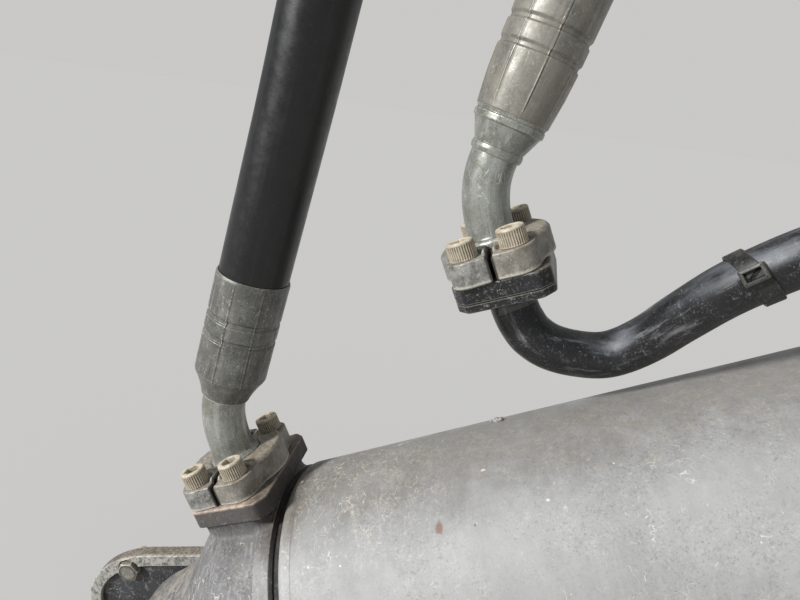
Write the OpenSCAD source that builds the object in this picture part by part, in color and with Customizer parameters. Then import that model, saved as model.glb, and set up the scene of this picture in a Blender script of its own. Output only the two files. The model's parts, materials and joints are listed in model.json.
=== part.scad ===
// Double-acting hoist cylinder that tips the body of an articulated dump truck.
// It hangs on a flanged pivot pin, carries both its pressure ports on the upper side,
// and has one hose and one steel transfer pipe to the far end.
// The row frame has its origin on the back face of the pin's flange, on the pin's axis.

/* [Stance] */
// Slope of the cylinder with the body down
rest_angle = 27; // [15:1:40]
// Travel of the rod
stroke = 1050; // [800:10:1400]

/* [Barrel] */
// Bore of the barrel
bore_d = 180; // [160:1:200]
// Wall of the barrel
barrel_wall = 15; // [13:0.5:20]
// Rounding of the barrel's end lip
lip_r = 4; // [2:0.5:6]
// Gap between the base casting and the barrel
groove_w = 7; // [4:0.5:10]
// Depth of that gap
groove_d = 9; // [6:0.5:10]

/* [Base casting] */
// Distance from the pivot pin to the middle of the groove
base_len = 150; // [146:1:180]
// Drop of the pivot pin below the barrel's axis
pin_drop = 24; // [0:1:30]
// Radius of the eye at the base
eye_r = 54; // [52:1:62]
// Width of the eyes along their pins
eye_w = 80; // [70:1:90]
// Distance from the groove back to the foot of the domed end
dome_len = 88; // [80:1:92]
// How much slimmer the domed end is at its foot
dome_drop = 30; // [24:1:40]
// Width of the raised rim beside the groove
rim_w = 12; // [8:1:16]
// Height of that rim over the casting
rim_h = 1.5; // [1:0.5:3]
// Length of the spigot inside the barrel
spigot_len = 20; // [15:1:30]

/* [Ports] */
// Distance from the groove back to the base port
base_port_back = 36.3; // [34:0.1:40]
// Distance from the groove on to the head port
head_port_on = 201.6; // [195:0.2:215]
// Width of the base port's pad across the barrel
pad_w = 100; // [94:1:106]
// Thickness of that pad
pad_t = 13; // [10:0.5:16]
// Height of the base port over the barrel's surface
pad_rise = 14.7; // [13.5:0.1:18]
// Height of the head port over the barrel's surface
head_rise = 115.9; // [105:0.1:130]
// Bolt spacing of the split flanges across the barrel
flange_a = 66.7; // [64:0.1:69]
// Bolt spacing of the split flanges along the barrel
flange_b = 31.8; // [30:0.1:34]
// Turn of the base port's split flange about its own axis
base_turn = -2; // [-6:0.5:6]
// Turn of the head port's split flange about its own axis
head_turn = -5; // [-8:0.5:8]
// Height of the split flange halves at their screws
clamp_h = 16.5; // [15:0.5:20]
// How much higher their collar stands
collar_rise = 2.5; // [1:0.5:4]
// Radius of the screw ears on the halves
clamp_ear_r = 12; // [11:0.5:14]
// Radius of the middle of a pair of halves
clamp_mid_r = 37; // [35:0.5:39]
// Slit between two halves
clamp_slit = 2; // [1:0.5:4]
// Head diameter of the flange screws
screw_head_d = 18; // [16:0.5:20]
// Head height of the flange screws
screw_head_h = 12; // [10:0.5:14]
// Shank diameter of the flange screws
screw_d = 12; // [10:0.5:12]

/* [Fittings] */
// Diameter of the sealing head of a hose fitting
seal_head_d = 54; // [52:0.1:55]
// Thickness of the sealing head
seal_head_h = 10; // [8:0.5:11]
// Neck diameter of a fitting where it leaves the split flange
neck_d = 38; // [36:0.5:40]
// Height of an elbow's corner over its port
elbow_rise = 50; // [46:0.5:56]
// Turn of the base elbow
base_tilt = 36.7; // [30:0.1:45]
// Turn of the head elbow
head_tilt = 41.4; // [30:0.1:45]
// Swing of both elbows away from the plane of the barrel
elbow_swing = 1.5; // [-5:0.5:5]
// Length of the base elbow past its corner
base_reach = 22; // [20:0.5:30]
// Length of the head elbow past its corner
head_reach = 26; // [20:0.5:34]
// Length of the flare on the head elbow
flare_len = 24; // [18:0.5:30]
// Tube diameter of the base elbow
base_tube_d = 32; // [30:0.5:34]
// Tube diameter of the head elbow
head_tube_d = 31; // [29:0.5:34]
// Diameter of the crimped ferrules
ferrule_d = 52.8; // [52.6:0.1:58]
// Length of the ferrule on the base hose
base_ferrule_len = 97; // [85:1:110]
// Length of the ferrule on the head elbow
head_ferrule_len = 84; // [80:1:110]
// How far a hose reaches into its ferrule
hose_insert = 30; // [20:1:40]
// Diameter of the base hose
hose_d = 50; // [46:0.5:50]
// Length of the fitting at the far end of the hose
hose_end_len = 95; // [85:1:130]
// Length of the nut on that fitting
hose_nut_len = 32; // [24:1:40]
// Radius of the nut's corners
hose_nut_r = 30; // [27:0.5:34]
// Radius of the nut's bore
hose_nut_bore = 20; // [16:0.5:22]

/* [Transfer pipe] */
// Diameter of the pipe
pipe_d = 32; // [30:0.5:34]
// Thickness of the flange that carries the head port's fitting
adapter_h = 17; // [14:0.5:22]
// Width of the tie strap round the pipe
tie_w = 11; // [9:1:16]
// Width of the tie's head across the pipe
tie_head_w = 10; // [8:1:16]
// Height of the tie's head over the strap
tie_head_h = 6; // [4:0.5:8]
// Thickness of a pipe clamp along the pipe
saddle_l = 32; // [20:1:50]
// Width of a pipe clamp
saddle_w = 60; // [50:1:70]
// Thickness of a pipe clamp above and below the pipe
saddle_wall = 9; // [6:0.5:12]
// Distance from the groove on to the first pipe clamp
saddle_start = 780; // [740:5:790]
// Distance from one pipe clamp to the next
saddle_step = 230; // [150:5:280]
// Play of the pipe in its clamps
saddle_play = 0.1; // [0.05:0.05:0.3]
// Thickness of the flange at the end of the pipe
pipe_flange_t = 16; // [12:1:22]
// Width of that flange across the barrel
pipe_flange_w = 72; // [66:1:78]
// Height of that flange
pipe_flange_h = 62; // [58:1:66]
// Length of the port block on the barrel
port_block_l = 70; // [50:1:90]
// Width of the port block
port_block_w = 84; // [80:1:100]
// How far the port block starts before the gland's inner end
port_block_back = 50; // [40:1:68]

/* [Rod and gland] */
// Diameter of the rod
rod_d = 110; // [90:1:120]
// Length of the piston
piston_len = 70; // [50:1:90]
// Length of the gland inside the barrel
gland_in = 60; // [40:1:80]
// Thickness of the gland's flange
gland_flange = 36; // [24:1:50]
// How far the gland's flange stands over the barrel
gland_step = 4; // [2:1:8]
// Screws in the gland
gland_screws = 12; // [8:1:14]
// Head diameter of the gland screws
gland_screw_d = 22; // [18:1:24]
// Radius of the rod's eye
rod_eye_r = 62; // [56:1:70]
// Distance from the rod eye's back face to its pin
rod_eye_len = 78; // [72:1:100]

/* [Pivot pin] */
// Diameter of the pivot pins
pin_d = 60; // [50:1:64]
// Wall of the bushes in the eyes
bush_wall = 6; // [4:0.5:8]
// Gap between the eye and the pin's flange
eye_gap = 5; // [3:0.5:8]
// Thickness of the pin's flange
flag_t = 14; // [10:1:20]
// Radius of the flange round the pin, and half its width
flag_r = 54.5; // [52:0.5:60]
// Length of the flange's parallel stretch
flag_flat = 56.5; // [50:0.5:70]
// Length of the flange's rounded far end
flag_end = 75; // [65:1:80]
// Slope of the flange below the cylinder's own slope
flag_turn = 12; // [0:1:14]
// Distance from the pin to the line through the flange bolts
bolt_reach = 80; // [76:1:84]
// Distance of each flange bolt from the flange's long edge
bolt_edge = 16.5; // [15.5:0.5:19]
// Width of the rim round the flange's recess
flag_rim = 12; // [8:1:16]
// Diameter of the flange bolts
bolt_d = 12; // [10:1:14]
// How much wider the holes for the flange bolts are
bolt_play = 2.5; // [2.2:0.1:3]
// How far the bolts stand out behind the flange
bolt_out = 14; // [12:1:30]
// Depth of the recess in the flange's face
recess_d = 4; // [2:0.5:6]
// Radius of the retaining disc
cap_r = 46; // [40:1:54]
// Thickness of the retaining disc
cap_t = 10; // [8:1:14]

/* [Fits] */
// Radial clearance of what turns or slides
run_gap = 0.06; // [0.02:0.01:0.1]
// Clearance of what is assembled and stays
seat_gap = 0.05; // [0.02:0.01:0.3]
// Clearance between the piston and what it stops against
end_gap = 10; // [6:1:15]

/* [Hidden] */
$fn = 64;
far = 400;

// Places along the cylinder, counted from the pivot pin
barrel_x = base_len + groove_w / 2;
piston_x = barrel_x + spigot_len + end_gap;
gland_x = piston_x + piston_len + stroke + end_gap;
barrel_end = gland_x + gland_in;
wiper_x = barrel_end + gland_flange;
wiper_t = 6;
ring_play = 0.2;
rod_eye_back = wiper_x + wiper_t + end_gap;
rod_eye_x = rod_eye_back + rod_eye_len;
barrel_r = bore_d / 2 + barrel_wall;
casting_r = barrel_r - 1 - rim_h;
groove_r = barrel_r - groove_d;
pin_r = pin_d / 2;
bush_bore = pin_r + run_gap;
bush_r = pin_r + bush_wall;
eye_mid = flag_t + eye_gap + eye_w / 2;

// The flange's bolts, and the hexagon and pocket of each
bolt_off = flag_r - bolt_edge;
bolt_hex_r = 10.4;
bolt_hex_h = 7.5;
pocket_r = bolt_hex_r + 1;

// The two ports; the base port's pad reaches to the middle of the groove
base_side = 5.3;
head_side = 10.4;
base_port = [base_len - base_port_back, base_side, barrel_r + pad_rise];
head_port = [base_len + head_port_on, head_side, barrel_r + head_rise];
pad_back = flange_b / 2 + clamp_ear_r + 3;
pad_ahead = base_port_back;
pad_corner = 8;
pad_over = 3;
adapter_ahead = 33;
adapter_w = 90;

// Direction and corner of each elbow, and the start of each ferrule
base_dir = leaning(base_tilt);
base_corner = base_port + [0, 0, elbow_rise];
base_ferrule_at = base_corner + base_reach * base_dir;
head_dir = leaning(head_tilt);
head_corner = head_port + [0, 0, elbow_rise];
head_ferrule_at = head_corner + (head_reach + flare_len) * head_dir;
flare_r = 23.2;
ferrule_groove = [45.5, 31];
groove_cut = 1.2;

// The hose runs straight out of its ferrule and ends just past the view
hose_route = [[0, 0, 0], [0, 0, 50], [0, 0, 100], [0, 0, 150], [0, -2, 200], [0, -5, 255], [0, -9, 310]];

// The pipe's route, counted from the groove and from the barrel's surface
pipe_route = [[203, 8.5, 75], [207, 8, 63], [216, 9.5, 51], [230, 13, 40.5], [247, 15.5, 33], [262, 14.5, 33],
    [280, 7.6, 40], [299, -5, 53], [323, -19, 67.5], [346, -29, 76.5], [372, -34, 81.5], [410, -38.5, 83],
    [455, -41, 79], [510, -42, 69], [570, -41, 57], [630, -40, 48], [680, -40, 45], [720, -40, 45]];
// Straight stretch of the pipe under the head port's fitting
pipe_lead = 14;
pipe_end_x = gland_x - port_block_back;
saddle_at = [for (x = [base_len + saddle_start : saddle_step : pipe_end_x - pipe_flange_t - saddle_l]) x];
pipe_y = -40;
pipe_rise = 45;
pipe_z = barrel_r + pipe_rise;
tie_after = 9;
tie_turn = 250;
port_block_h = pipe_rise + pipe_d / 2 + saddle_wall;

// Helpers
function unit(v) = v / norm(v);
function ring_axes(d) =
    let (z = unit(d), side = abs(z[1]) < 0.9 ? [0, 1, 0] : [1, 0, 0], x = unit(cross(side, z)))
    [x, cross(z, x)];
function leaning(tilt) = [sin(tilt) * cos(elbow_swing), sin(tilt) * sin(elbow_swing), cos(tilt)];
function mix(a, b, c, t) = a * pow(1 - t, 2) + b * (2 * t * (1 - t)) + c * pow(t, 2);
function bend(a, corner, c, n) = [for (i = [0 : n]) mix(a, corner, c, i / n)];
function spline(p, i, t) =
    let (a = p[max(i - 1, 0)], b = p[i], c = p[i + 1], d = p[min(i + 2, len(p) - 1)])
    0.5 * (2 * b + (c - a) * t + (2 * a - 5 * b + 4 * c - d) * t * t + (3 * b - a - 3 * c + d) * t * t * t);
function smooth_route(p, n) =
    concat([for (i = [0 : len(p) - 2], k = [0 : n - 1]) spline(p, i, k / n)], [p[len(p) - 1]]);
function arc(c, r, from, to, n) = [for (i = [0 : n]) c + r * [cos(from + (to - from) * i / n),
    sin(from + (to - from) * i / n)]];

// A round tube along a route, with one ring at each point
module sweep(route, r, sides) {
    n = len(route);
    tangent = [for (i = [0 : n - 1]) unit(route[min(i + 1, n - 1)] - route[max(i - 1, 0)])];
    points = [for (i = [0 : n - 1]) let (axes = ring_axes(tangent[i])) for (k = [0 : sides - 1])
        route[i] + r * (cos(360 * k / sides) * axes[0] + sin(360 * k / sides) * axes[1])];
    faces = concat(
        [[for (k = [sides - 1 : -1 : 0]) k]],
        [[for (k = [0 : sides - 1]) (n - 1) * sides + k]],
        [for (i = [0 : n - 2], k = [0 : sides - 1]) let (m = (k + 1) % sides)
            [i * sides + k, i * sides + m, (i + 1) * sides + m, (i + 1) * sides + k]]);
    polyhedron(points, [for (f = faces) [for (k = [len(f) - 1 : -1 : 0]) f[k]]]);
}

// Puts what is drawn along the barrel's axis into the row frame
module in_line() {
    translate([0, -eye_mid, 0]) rotate([0, -rest_angle, 0]) translate([0, 0, pin_drop]) children();
}

// Puts what is drawn on the pin's axis into the row frame, with the pin along Y
module on_pin() {
    translate([0, -eye_mid, 0]) rotate([0, -rest_angle, 0]) children();
}

// Turns the Z axis of what is drawn to a direction
module aim(at, dir) {
    d = unit(dir);
    translate(at) rotate([0, acos(d[2]), atan2(d[1], d[0])]) children();
}

// Turns a profile in (radius, place) round the barrel's axis
module lathe(profile) {
    rotate([0, 90, 0]) rotate_extrude() polygon(profile);
}

// A cylinder along Y, centred
module across(r, w) {
    rotate([90, 0, 0]) cylinder(r = r, h = w, center = true);
}

// Pivot pin and its flange

// Half a circle round the pin, a parallel stretch and half an ellipse at the far end
module flag_outline(grow) {
    polygon(concat(
        arc([0, 0], flag_r + grow, -90, 90, 24),
        [for (i = [0 : 24]) let (a = 90 + 7.5 * i)
            [-flag_flat + (flag_end + grow) * cos(a), (flag_r + grow) * sin(a)]]));
}

module flag_bolt_places() {
    for (s = [-1, 1]) translate([-bolt_reach, s * bolt_off]) children();
}

// Lays what is drawn in the flange's own plane, seen from the cylinder's side
module on_flag() {
    rotate([0, -(rest_angle - flag_turn), 0]) rotate([90, 0, 0]) children();
}

module pivot_pin() {
    color([0.13, 0.13, 0.14]) on_flag() {
        difference() {
            linear_extrude(flag_t) flag_outline(0);
            translate([0, 0, flag_t - recess_d]) linear_extrude(recess_d + 1) flag_outline(-flag_rim);
            flag_bolt_places() translate([0, 0, -1]) cylinder(d = bolt_d + bolt_play, h = flag_t + 2);
            flag_bolt_places() translate([0, 0, flag_t - recess_d]) cylinder(r = pocket_r, h = recess_d + 1);
        }
        translate([0, 0, flag_t - recess_d]) cylinder(r = pin_r + bush_wall, h = recess_d + eye_gap - 0.5);
        cylinder(r = pin_r, h = flag_t + 2 * eye_gap + eye_w);
    }
}

module pivot_bolts() {
    color([0.45, 0.44, 0.42]) on_flag() flag_bolt_places() {
        translate([0, 0, -bolt_out]) cylinder(d = bolt_d, h = bolt_out + flag_t);
        translate([0, 0, flag_t - recess_d]) cylinder(r = bolt_hex_r, h = bolt_hex_h, $fn = 6);
    }
}

module pin_cap() {
    color([0.3, 0.3, 0.31]) translate([0, -eye_mid - eye_w / 2 - eye_gap, 0]) rotate([90, 0, 0]) difference() {
        cylinder(r = cap_r, h = cap_t);
        translate([0, 0, -1]) cylinder(r = 10.5, h = cap_t + 2);
    }
}

module pin_cap_bolt() {
    color([0.5, 0.49, 0.47]) translate([0, -eye_mid - eye_w / 2 - eye_gap, 0]) rotate([90, 0, 0]) {
        cylinder(r = 10, h = cap_t);
        translate([0, 0, cap_t]) cylinder(r = 17.3, h = 12.5, $fn = 6);
    }
}

// Base casting: the eye, a crowned neck, the domed end and the port pad

dome_x = base_len - dome_len;
dome_foot_r = casting_r - dome_drop;

module base_eye() {
    half = eye_w / 2;
    crown = [[5, 0], [3, 6], [1, 16]];
    rotate([90, 0, 0]) rotate_extrude() polygon(concat(
        [[0, -half]],
        [for (p = crown) [eye_r - p[0], -half + p[1]]],
        [for (i = [2, 1, 0]) [eye_r - crown[i][0], half - crown[i][1]]],
        [[0, half]]));
}

// The neck's sides: from below the eye to below the dome, and back under the crown
function neck_outline() = [
    [0, -pin_drop - eye_r + 5], [dome_x + 30, -casting_r + 14], [dome_x + 48, -casting_r + 6],
    [dome_x + 48, casting_r - 20], [dome_x, dome_foot_r - 14], [dome_x * 0.6, dome_foot_r * 0.5], [0, 10]];

module neck() {
    translate([0, eye_w / 2, 0]) rotate([90, 0, 0]) linear_extrude(eye_w) polygon(neck_outline());
    intersection() {
        lathe(concat(
            [[0, 0]],
            [for (i = [0 : 8]) mix([dome_foot_r * 0.55, 0], [dome_foot_r * 0.63, dome_x * 0.58],
                [dome_foot_r, dome_x], i / 8)],
            [[dome_foot_r, dome_x + 10], [0, dome_x + 10]]));
        translate([-1, -eye_w / 2, -far / 2]) cube([far, eye_w, far]);
    }
}

module dome() {
    rim_x = base_len - groove_w / 2 - rim_w;
    lathe(concat(
        [[0, dome_x]],
        [for (i = [0 : 8]) mix([dome_foot_r, dome_x], [casting_r, dome_x + dome_len * 0.3],
            [casting_r, dome_x + dome_len * 0.5], i / 8)],
        [[casting_r, rim_x], [barrel_r - 1, rim_x], [barrel_r - 1, base_len - groove_w / 2],
         [groove_r, base_len - groove_w / 2], [groove_r, barrel_x], [bore_d / 2 - seat_gap, barrel_x],
         [bore_d / 2 - seat_gap, barrel_x + spigot_len], [0, barrel_x + spigot_len]]));
}

// A pad's outline: it ends squarer ahead than at its back
function pad_outline(back, ahead, w, c) = [[-back + c, -w / 2 + c * 0.7], [ahead - c, -w / 2], [ahead, -w / 2 + c],
    [ahead, w / 2 - c], [ahead - c, w / 2], [-back + c, w / 2 - c * 0.7], [-back, w / 2 - 2 * c], [-back, -w / 2 + 2 * c]];

module pad() {
    root = barrel_r / 5;
    translate(base_port) {
        translate([0, 0, -pad_t]) linear_extrude(pad_t) polygon(pad_outline(pad_back, pad_ahead, pad_w, pad_corner));
        translate([0, 0, -base_port[2] + root]) linear_extrude(base_port[2] - root - pad_t + 1)
            polygon(pad_outline(pad_back - pad_over, pad_ahead - groove_w, pad_w - 2 * pad_over, pad_corner));
    }
}

module base_casting() {
    color([0.36, 0.37, 0.38]) in_line() difference() {
        union() {
            translate([0, 0, -pin_drop]) base_eye();
            neck();
            dome();
            pad();
        }
        translate([0, 0, -pin_drop]) across(bush_r + seat_gap, eye_w + 2);
    }
}

module base_bush() {
    color([0.55, 0.45, 0.3]) on_pin() difference() {
        across(bush_r, eye_w);
        across(bush_bore, eye_w + 2);
    }
}

module dust_ring() {
    color([0.05, 0.05, 0.05]) in_line() translate([base_len - groove_w / 2 + ring_play, 0, 0]) rotate([0, 90, 0])
        difference() {
            cylinder(r = barrel_r - groove_d / 2, h = groove_w - 2 * ring_play);
            translate([0, 0, -1]) cylinder(r = groove_r + seat_gap, h = groove_w + 2);
        }
}

// Barrel with its welded feet and the port block at the head

module barrel_tube() {
    color([0.4, 0.41, 0.42]) in_line() difference() {
        union() {
            translate([barrel_x, 0, 0]) rotate([0, 90, 0]) rotate_extrude() polygon(concat(
                [[0, 0]],
                [for (i = [0 : 4]) [barrel_r - lip_r + lip_r * sin(22.5 * i), lip_r - lip_r * cos(22.5 * i)]],
                [[barrel_r, barrel_end - barrel_x], [0, barrel_end - barrel_x]]));
            for (x = saddle_at) translate([x - saddle_l / 2, pipe_y - saddle_w / 2, 0])
                cube([saddle_l, saddle_w, pipe_z - pipe_d / 2 - saddle_wall]);
            translate([pipe_end_x, pipe_y - port_block_w / 2, 0])
                cube([port_block_l, port_block_w, barrel_r + port_block_h]);
        }
        translate([barrel_x - 1, 0, 0]) rotate([0, 90, 0]) cylinder(d = bore_d, h = barrel_end - barrel_x + 2);
    }
}

module gland() {
    color([0.3, 0.31, 0.32]) in_line() difference() {
        lathe([[0, gland_x], [bore_d / 2 - seat_gap, gland_x], [bore_d / 2 - seat_gap, barrel_end],
            [barrel_r + gland_step, barrel_end], [barrel_r + gland_step, wiper_x - 3],
            [barrel_r + gland_step - 3, wiper_x], [0, wiper_x]]);
        translate([gland_x - 1, 0, 0]) rotate([0, 90, 0])
            cylinder(r = rod_d / 2 + run_gap, h = wiper_x - gland_x + 2);
        gland_screw_places() translate([0, 0, -gland_screw_d * 0.6])
            cylinder(d = gland_screw_d + 2, h = gland_screw_d);
    }
}

module gland_screw_places() {
    for (i = [0 : gland_screws - 1]) translate([wiper_x, 0, 0]) rotate([0, 90, 0])
        rotate([0, 0, 360 * (i + 0.5) / gland_screws])
            translate([barrel_r - gland_screw_d * 0.75, 0, 0]) children();
}

module gland_bolts() {
    color([0.42, 0.42, 0.42]) in_line() gland_screw_places() translate([0, 0, -gland_screw_d * 0.6]) difference() {
        cylinder(d = gland_screw_d, h = gland_screw_d * 0.6 + 4);
        translate([0, 0, 8]) cylinder(r = 8, h = gland_screw_d, $fn = 6);
    }
}

module wiper() {
    color([0.08, 0.08, 0.08]) in_line() difference() {
        lathe([[0, wiper_x], [rod_d / 2 + 12, wiper_x], [rod_d / 2 + 12, wiper_x + 2],
            [rod_d / 2 + 5, wiper_x + wiper_t], [0, wiper_x + wiper_t]]);
        translate([wiper_x - 1, 0, 0]) rotate([0, 90, 0]) cylinder(r = rod_d / 2 + run_gap, h = wiper_t + 2);
    }
}

// Split flanges, their screws and the hose fittings

function half_outline() = concat(
    arc([flange_b / 2, -flange_a / 2], clamp_ear_r, -100, -8, 7),
    arc([0, 0], clamp_mid_r, -36, 36, 8),
    arc([flange_b / 2, flange_a / 2], clamp_ear_r, 8, 100, 7),
    [[clamp_slit / 2, flange_a / 2 + clamp_ear_r - 2], [clamp_slit / 2, -flange_a / 2 - clamp_ear_r + 2]]);

module clamp_half() {
    difference() {
        union() {
            linear_extrude(clamp_h) polygon(half_outline());
            intersection() {
                cylinder(r = clamp_mid_r - 1, h = clamp_h + collar_rise);
                translate([clamp_slit / 2, -clamp_mid_r, 0]) cube([clamp_mid_r, 2 * clamp_mid_r, clamp_h + collar_rise]);
            }
        }
        translate([0, 0, -1]) cylinder(d = seal_head_d + 4 * seat_gap, h = seal_head_h + 1 + seat_gap);
        translate([0, 0, -1]) cylinder(d = neck_d + 1.2, h = clamp_h + collar_rise + 2);
        for (s = [-1, 1]) translate([flange_b / 2, s * flange_a / 2, 0]) {
            translate([0, 0, -1]) cylinder(d = screw_d + 1, h = clamp_h + 2);
            translate([0, 0, clamp_h]) cylinder(r = screw_head_d / 2 + 2, h = collar_rise + 1);
        }
    }
}

module clamp_screws() {
    for (s = [-1, 1], t = [-1, 1]) translate([s * flange_b / 2, t * flange_a / 2, 0]) {
        cylinder(d = screw_d, h = clamp_h);
        translate([0, 0, clamp_h]) difference() {
            cylinder(d = screw_head_d, h = screw_head_h);
            translate([0, 0, screw_head_h / 2]) cylinder(r = 5.8, h = screw_head_h, $fn = 6);
        }
    }
}

module elbow(tube_d, dir, reach) {
    neck_end = clamp_h + collar_rise + 1;
    corner = [0, 0, elbow_rise];
    cylinder(d = seal_head_d, h = seal_head_h);
    cylinder(d = neck_d, h = neck_end);
    sweep(concat([[0, 0, neck_end - 6], [0, 0, neck_end]],
        bend([0, 0, neck_end + 2], corner, corner + (reach - 2) * dir, 8), [corner + reach * dir]),
        tube_d / 2, 20);
}

// A ferrule on the way out of its elbow: foot is the profile of its near end, and the hose's mouth is at the far end
module ferrule(length, foot) {
    r = ferrule_d / 2;
    difference() {
        rotate_extrude() polygon(concat([[0, 0]], foot,
            [for (g = ferrule_groove, p = [[0, 2.5], [groove_cut, 1.5], [groove_cut, -1], [0, -2.5]])
                [r - p[0], length - g - p[1]]],
            [[r, length - 2], [r - 1, length], [0, length]]));
        translate([0, 0, length - hose_insert]) cylinder(r = hose_d / 2 + seat_gap, h = hose_insert + 1);
    }
}

module base_clamp_rear() {
    color([0.5, 0.5, 0.49]) in_line() translate(base_port) rotate([0, 0, base_turn]) clamp_half();
}

module base_clamp_front() {
    color([0.5, 0.5, 0.49]) in_line() translate(base_port) rotate([0, 0, base_turn + 180]) clamp_half();
}

module base_clamp_screws() {
    color([0.6, 0.58, 0.54]) in_line() translate(base_port) rotate([0, 0, base_turn]) clamp_screws();
}

module base_elbow() {
    color([0.62, 0.63, 0.62]) in_line() translate(base_port) elbow(base_tube_d, base_dir, base_reach);
}

module base_ferrule() {
    color([0.42, 0.42, 0.42]) in_line() aim(base_ferrule_at, base_dir)
        ferrule(base_ferrule_len, [for (i = [0 : 4]) [mix(18, 19, ferrule_d / 2, i / 4), mix(0, 6, 20, i / 4)]]);
}

module at_hose() {
    in_line() aim(base_ferrule_at + (base_ferrule_len - hose_insert) * base_dir, base_dir) children();
}

module base_hose() {
    color([0.07, 0.07, 0.08]) at_hose() sweep(hose_route, hose_d / 2, 12);
}

module base_hose_end() {
    last = len(hose_route) - 1;
    tip = hose_route[last];
    lead = unit(tip - hose_route[last - 1]);
    color([0.42, 0.42, 0.42]) at_hose() aim(tip, lead) {
        rotate_extrude() polygon([[0, 0], [ferrule_d / 2, 0], [ferrule_d / 2, hose_end_len * 0.74],
            [ferrule_d * 0.42, hose_end_len * 0.78], [hose_nut_bore, hose_end_len * 0.9],
            [hose_nut_bore, hose_end_len], [0, hose_end_len]]);
        translate([0, 0, hose_end_len]) difference() {
            cylinder(r = hose_nut_r, h = hose_nut_len, $fn = 6);
            translate([0, 0, hose_nut_len / 5]) cylinder(r = hose_nut_bore, h = hose_nut_len);
        }
    }
}

module head_clamp_rear() {
    color([0.5, 0.5, 0.49]) in_line() translate(head_port) rotate([0, 0, head_turn]) clamp_half();
}

module head_clamp_front() {
    color([0.5, 0.5, 0.49]) in_line() translate(head_port) rotate([0, 0, head_turn + 180]) clamp_half();
}

module head_clamp_screws() {
    color([0.6, 0.58, 0.54]) in_line() translate(head_port) rotate([0, 0, head_turn]) clamp_screws();
}

module head_elbow() {
    color([0.62, 0.63, 0.62]) in_line() {
        translate(head_port) elbow(head_tube_d, head_dir, head_reach);
        aim(head_ferrule_at - flare_len * head_dir, head_dir) rotate_extrude()
            polygon([[0, 0], [head_tube_d / 2 + 1, 0], [head_tube_d / 2 + 1.5, 2], [flare_r - 0.6, flare_len - 5],
                [flare_r, flare_len], [0, flare_len]]);
    }
}

module head_ferrule() {
    color([0.42, 0.42, 0.42]) in_line() aim(head_ferrule_at, head_dir)
        ferrule(head_ferrule_len, [[flare_r + 0.2, 0], [flare_r + 0.8, 0.8], [ferrule_d / 2 - 0.6, 20]]);
}

// Transfer pipe from the fitting to the head of the cylinder

module pipe_adapter() {
    color([0.1, 0.1, 0.11]) in_line() translate(head_port - [0, 0, adapter_h])
        rotate([0, 0, head_turn]) linear_extrude(adapter_h)
            polygon(pad_outline(pad_back, adapter_ahead, adapter_w, pad_corner));
}

// The route between the straight stretches at the two flanges
pipe_top = head_port - [0, 0, adapter_h];
pipe_line = concat(
    [pipe_top - [0, 0, pipe_lead]],
    [for (p = pipe_route) p + [base_len, 0, barrel_r]],
    [[pipe_end_x - pipe_flange_t, pipe_y, pipe_z]]);

module transfer_pipe() {
    color([0.07, 0.07, 0.08]) in_line()
        sweep(concat([pipe_top, pipe_top - [0, 0, pipe_lead / 2]], smooth_route(pipe_line, 3)), pipe_d / 2, 16);
}

module pipe_tie() {
    r = pipe_d / 2 + 0.8;
    tie_t = 2;
    way = pipe_line[tie_after + 1] - spline(pipe_line, tie_after, 1 / 3);
    color([0.04, 0.04, 0.04]) in_line() aim(spline(pipe_line, tie_after, 2 / 3), way) difference() {
        union() {
            cylinder(r = r + tie_t, h = tie_w, center = true);
            rotate([0, 0, tie_turn]) translate([r + tie_t / 2, -tie_head_w / 2, -tie_w / 2 - 1])
                cube([tie_t / 2 + tie_head_h, tie_head_w, tie_w + 2]);
        }
        cylinder(r = r, h = tie_w + 4, center = true);
    }
}

module pipe_saddles() {
    foot = pipe_z - pipe_d / 2 - saddle_wall;
    color([0.12, 0.12, 0.12]) in_line() for (x = saddle_at) difference() {
        translate([x - saddle_l / 2, pipe_y - saddle_w / 2, foot]) cube([saddle_l, saddle_w, pipe_d + 2 * saddle_wall]);
        translate([x - saddle_l, pipe_y, pipe_z]) rotate([0, 90, 0])
            cylinder(r = pipe_d / 2 + saddle_play, h = 2 * saddle_l);
    }
}

module pipe_end_flange() {
    inset = 9;
    head_d = 14;
    head_h = 8;
    color([0.12, 0.12, 0.12]) in_line() translate([pipe_end_x - pipe_flange_t, pipe_y, pipe_z]) rotate([0, 90, 0]) {
        linear_extrude(pipe_flange_t) square([pipe_flange_h, pipe_flange_w], center = true);
        for (s = [-1, 1], t = [-1, 1])
            translate([s * (pipe_flange_h / 2 - inset), t * (pipe_flange_w / 2 - inset), -head_h])
                cylinder(d = head_d, h = head_h);
    }
}

// Rod, piston and the eye at the rod's end

module rod() {
    color([0.75, 0.76, 0.78]) in_line() translate([piston_x + piston_len, 0, 0]) rotate([0, 90, 0])
        cylinder(d = rod_d, h = rod_eye_back - piston_x - piston_len);
}

module piston() {
    color([0.5, 0.5, 0.5]) in_line() translate([piston_x, 0, 0]) rotate([0, 90, 0])
        cylinder(r = bore_d / 2 - run_gap, h = piston_len);
}

function rod_eye_outline() = concat(
    [[-rod_eye_len, -rod_d / 2 - 4], [-rod_eye_len + 14, -rod_d / 2 - 4]],
    arc([0, 0], rod_eye_r, -128, 128, 26),
    [[-rod_eye_len + 14, rod_d / 2 + 4], [-rod_eye_len, rod_d / 2 + 4]]);

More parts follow.
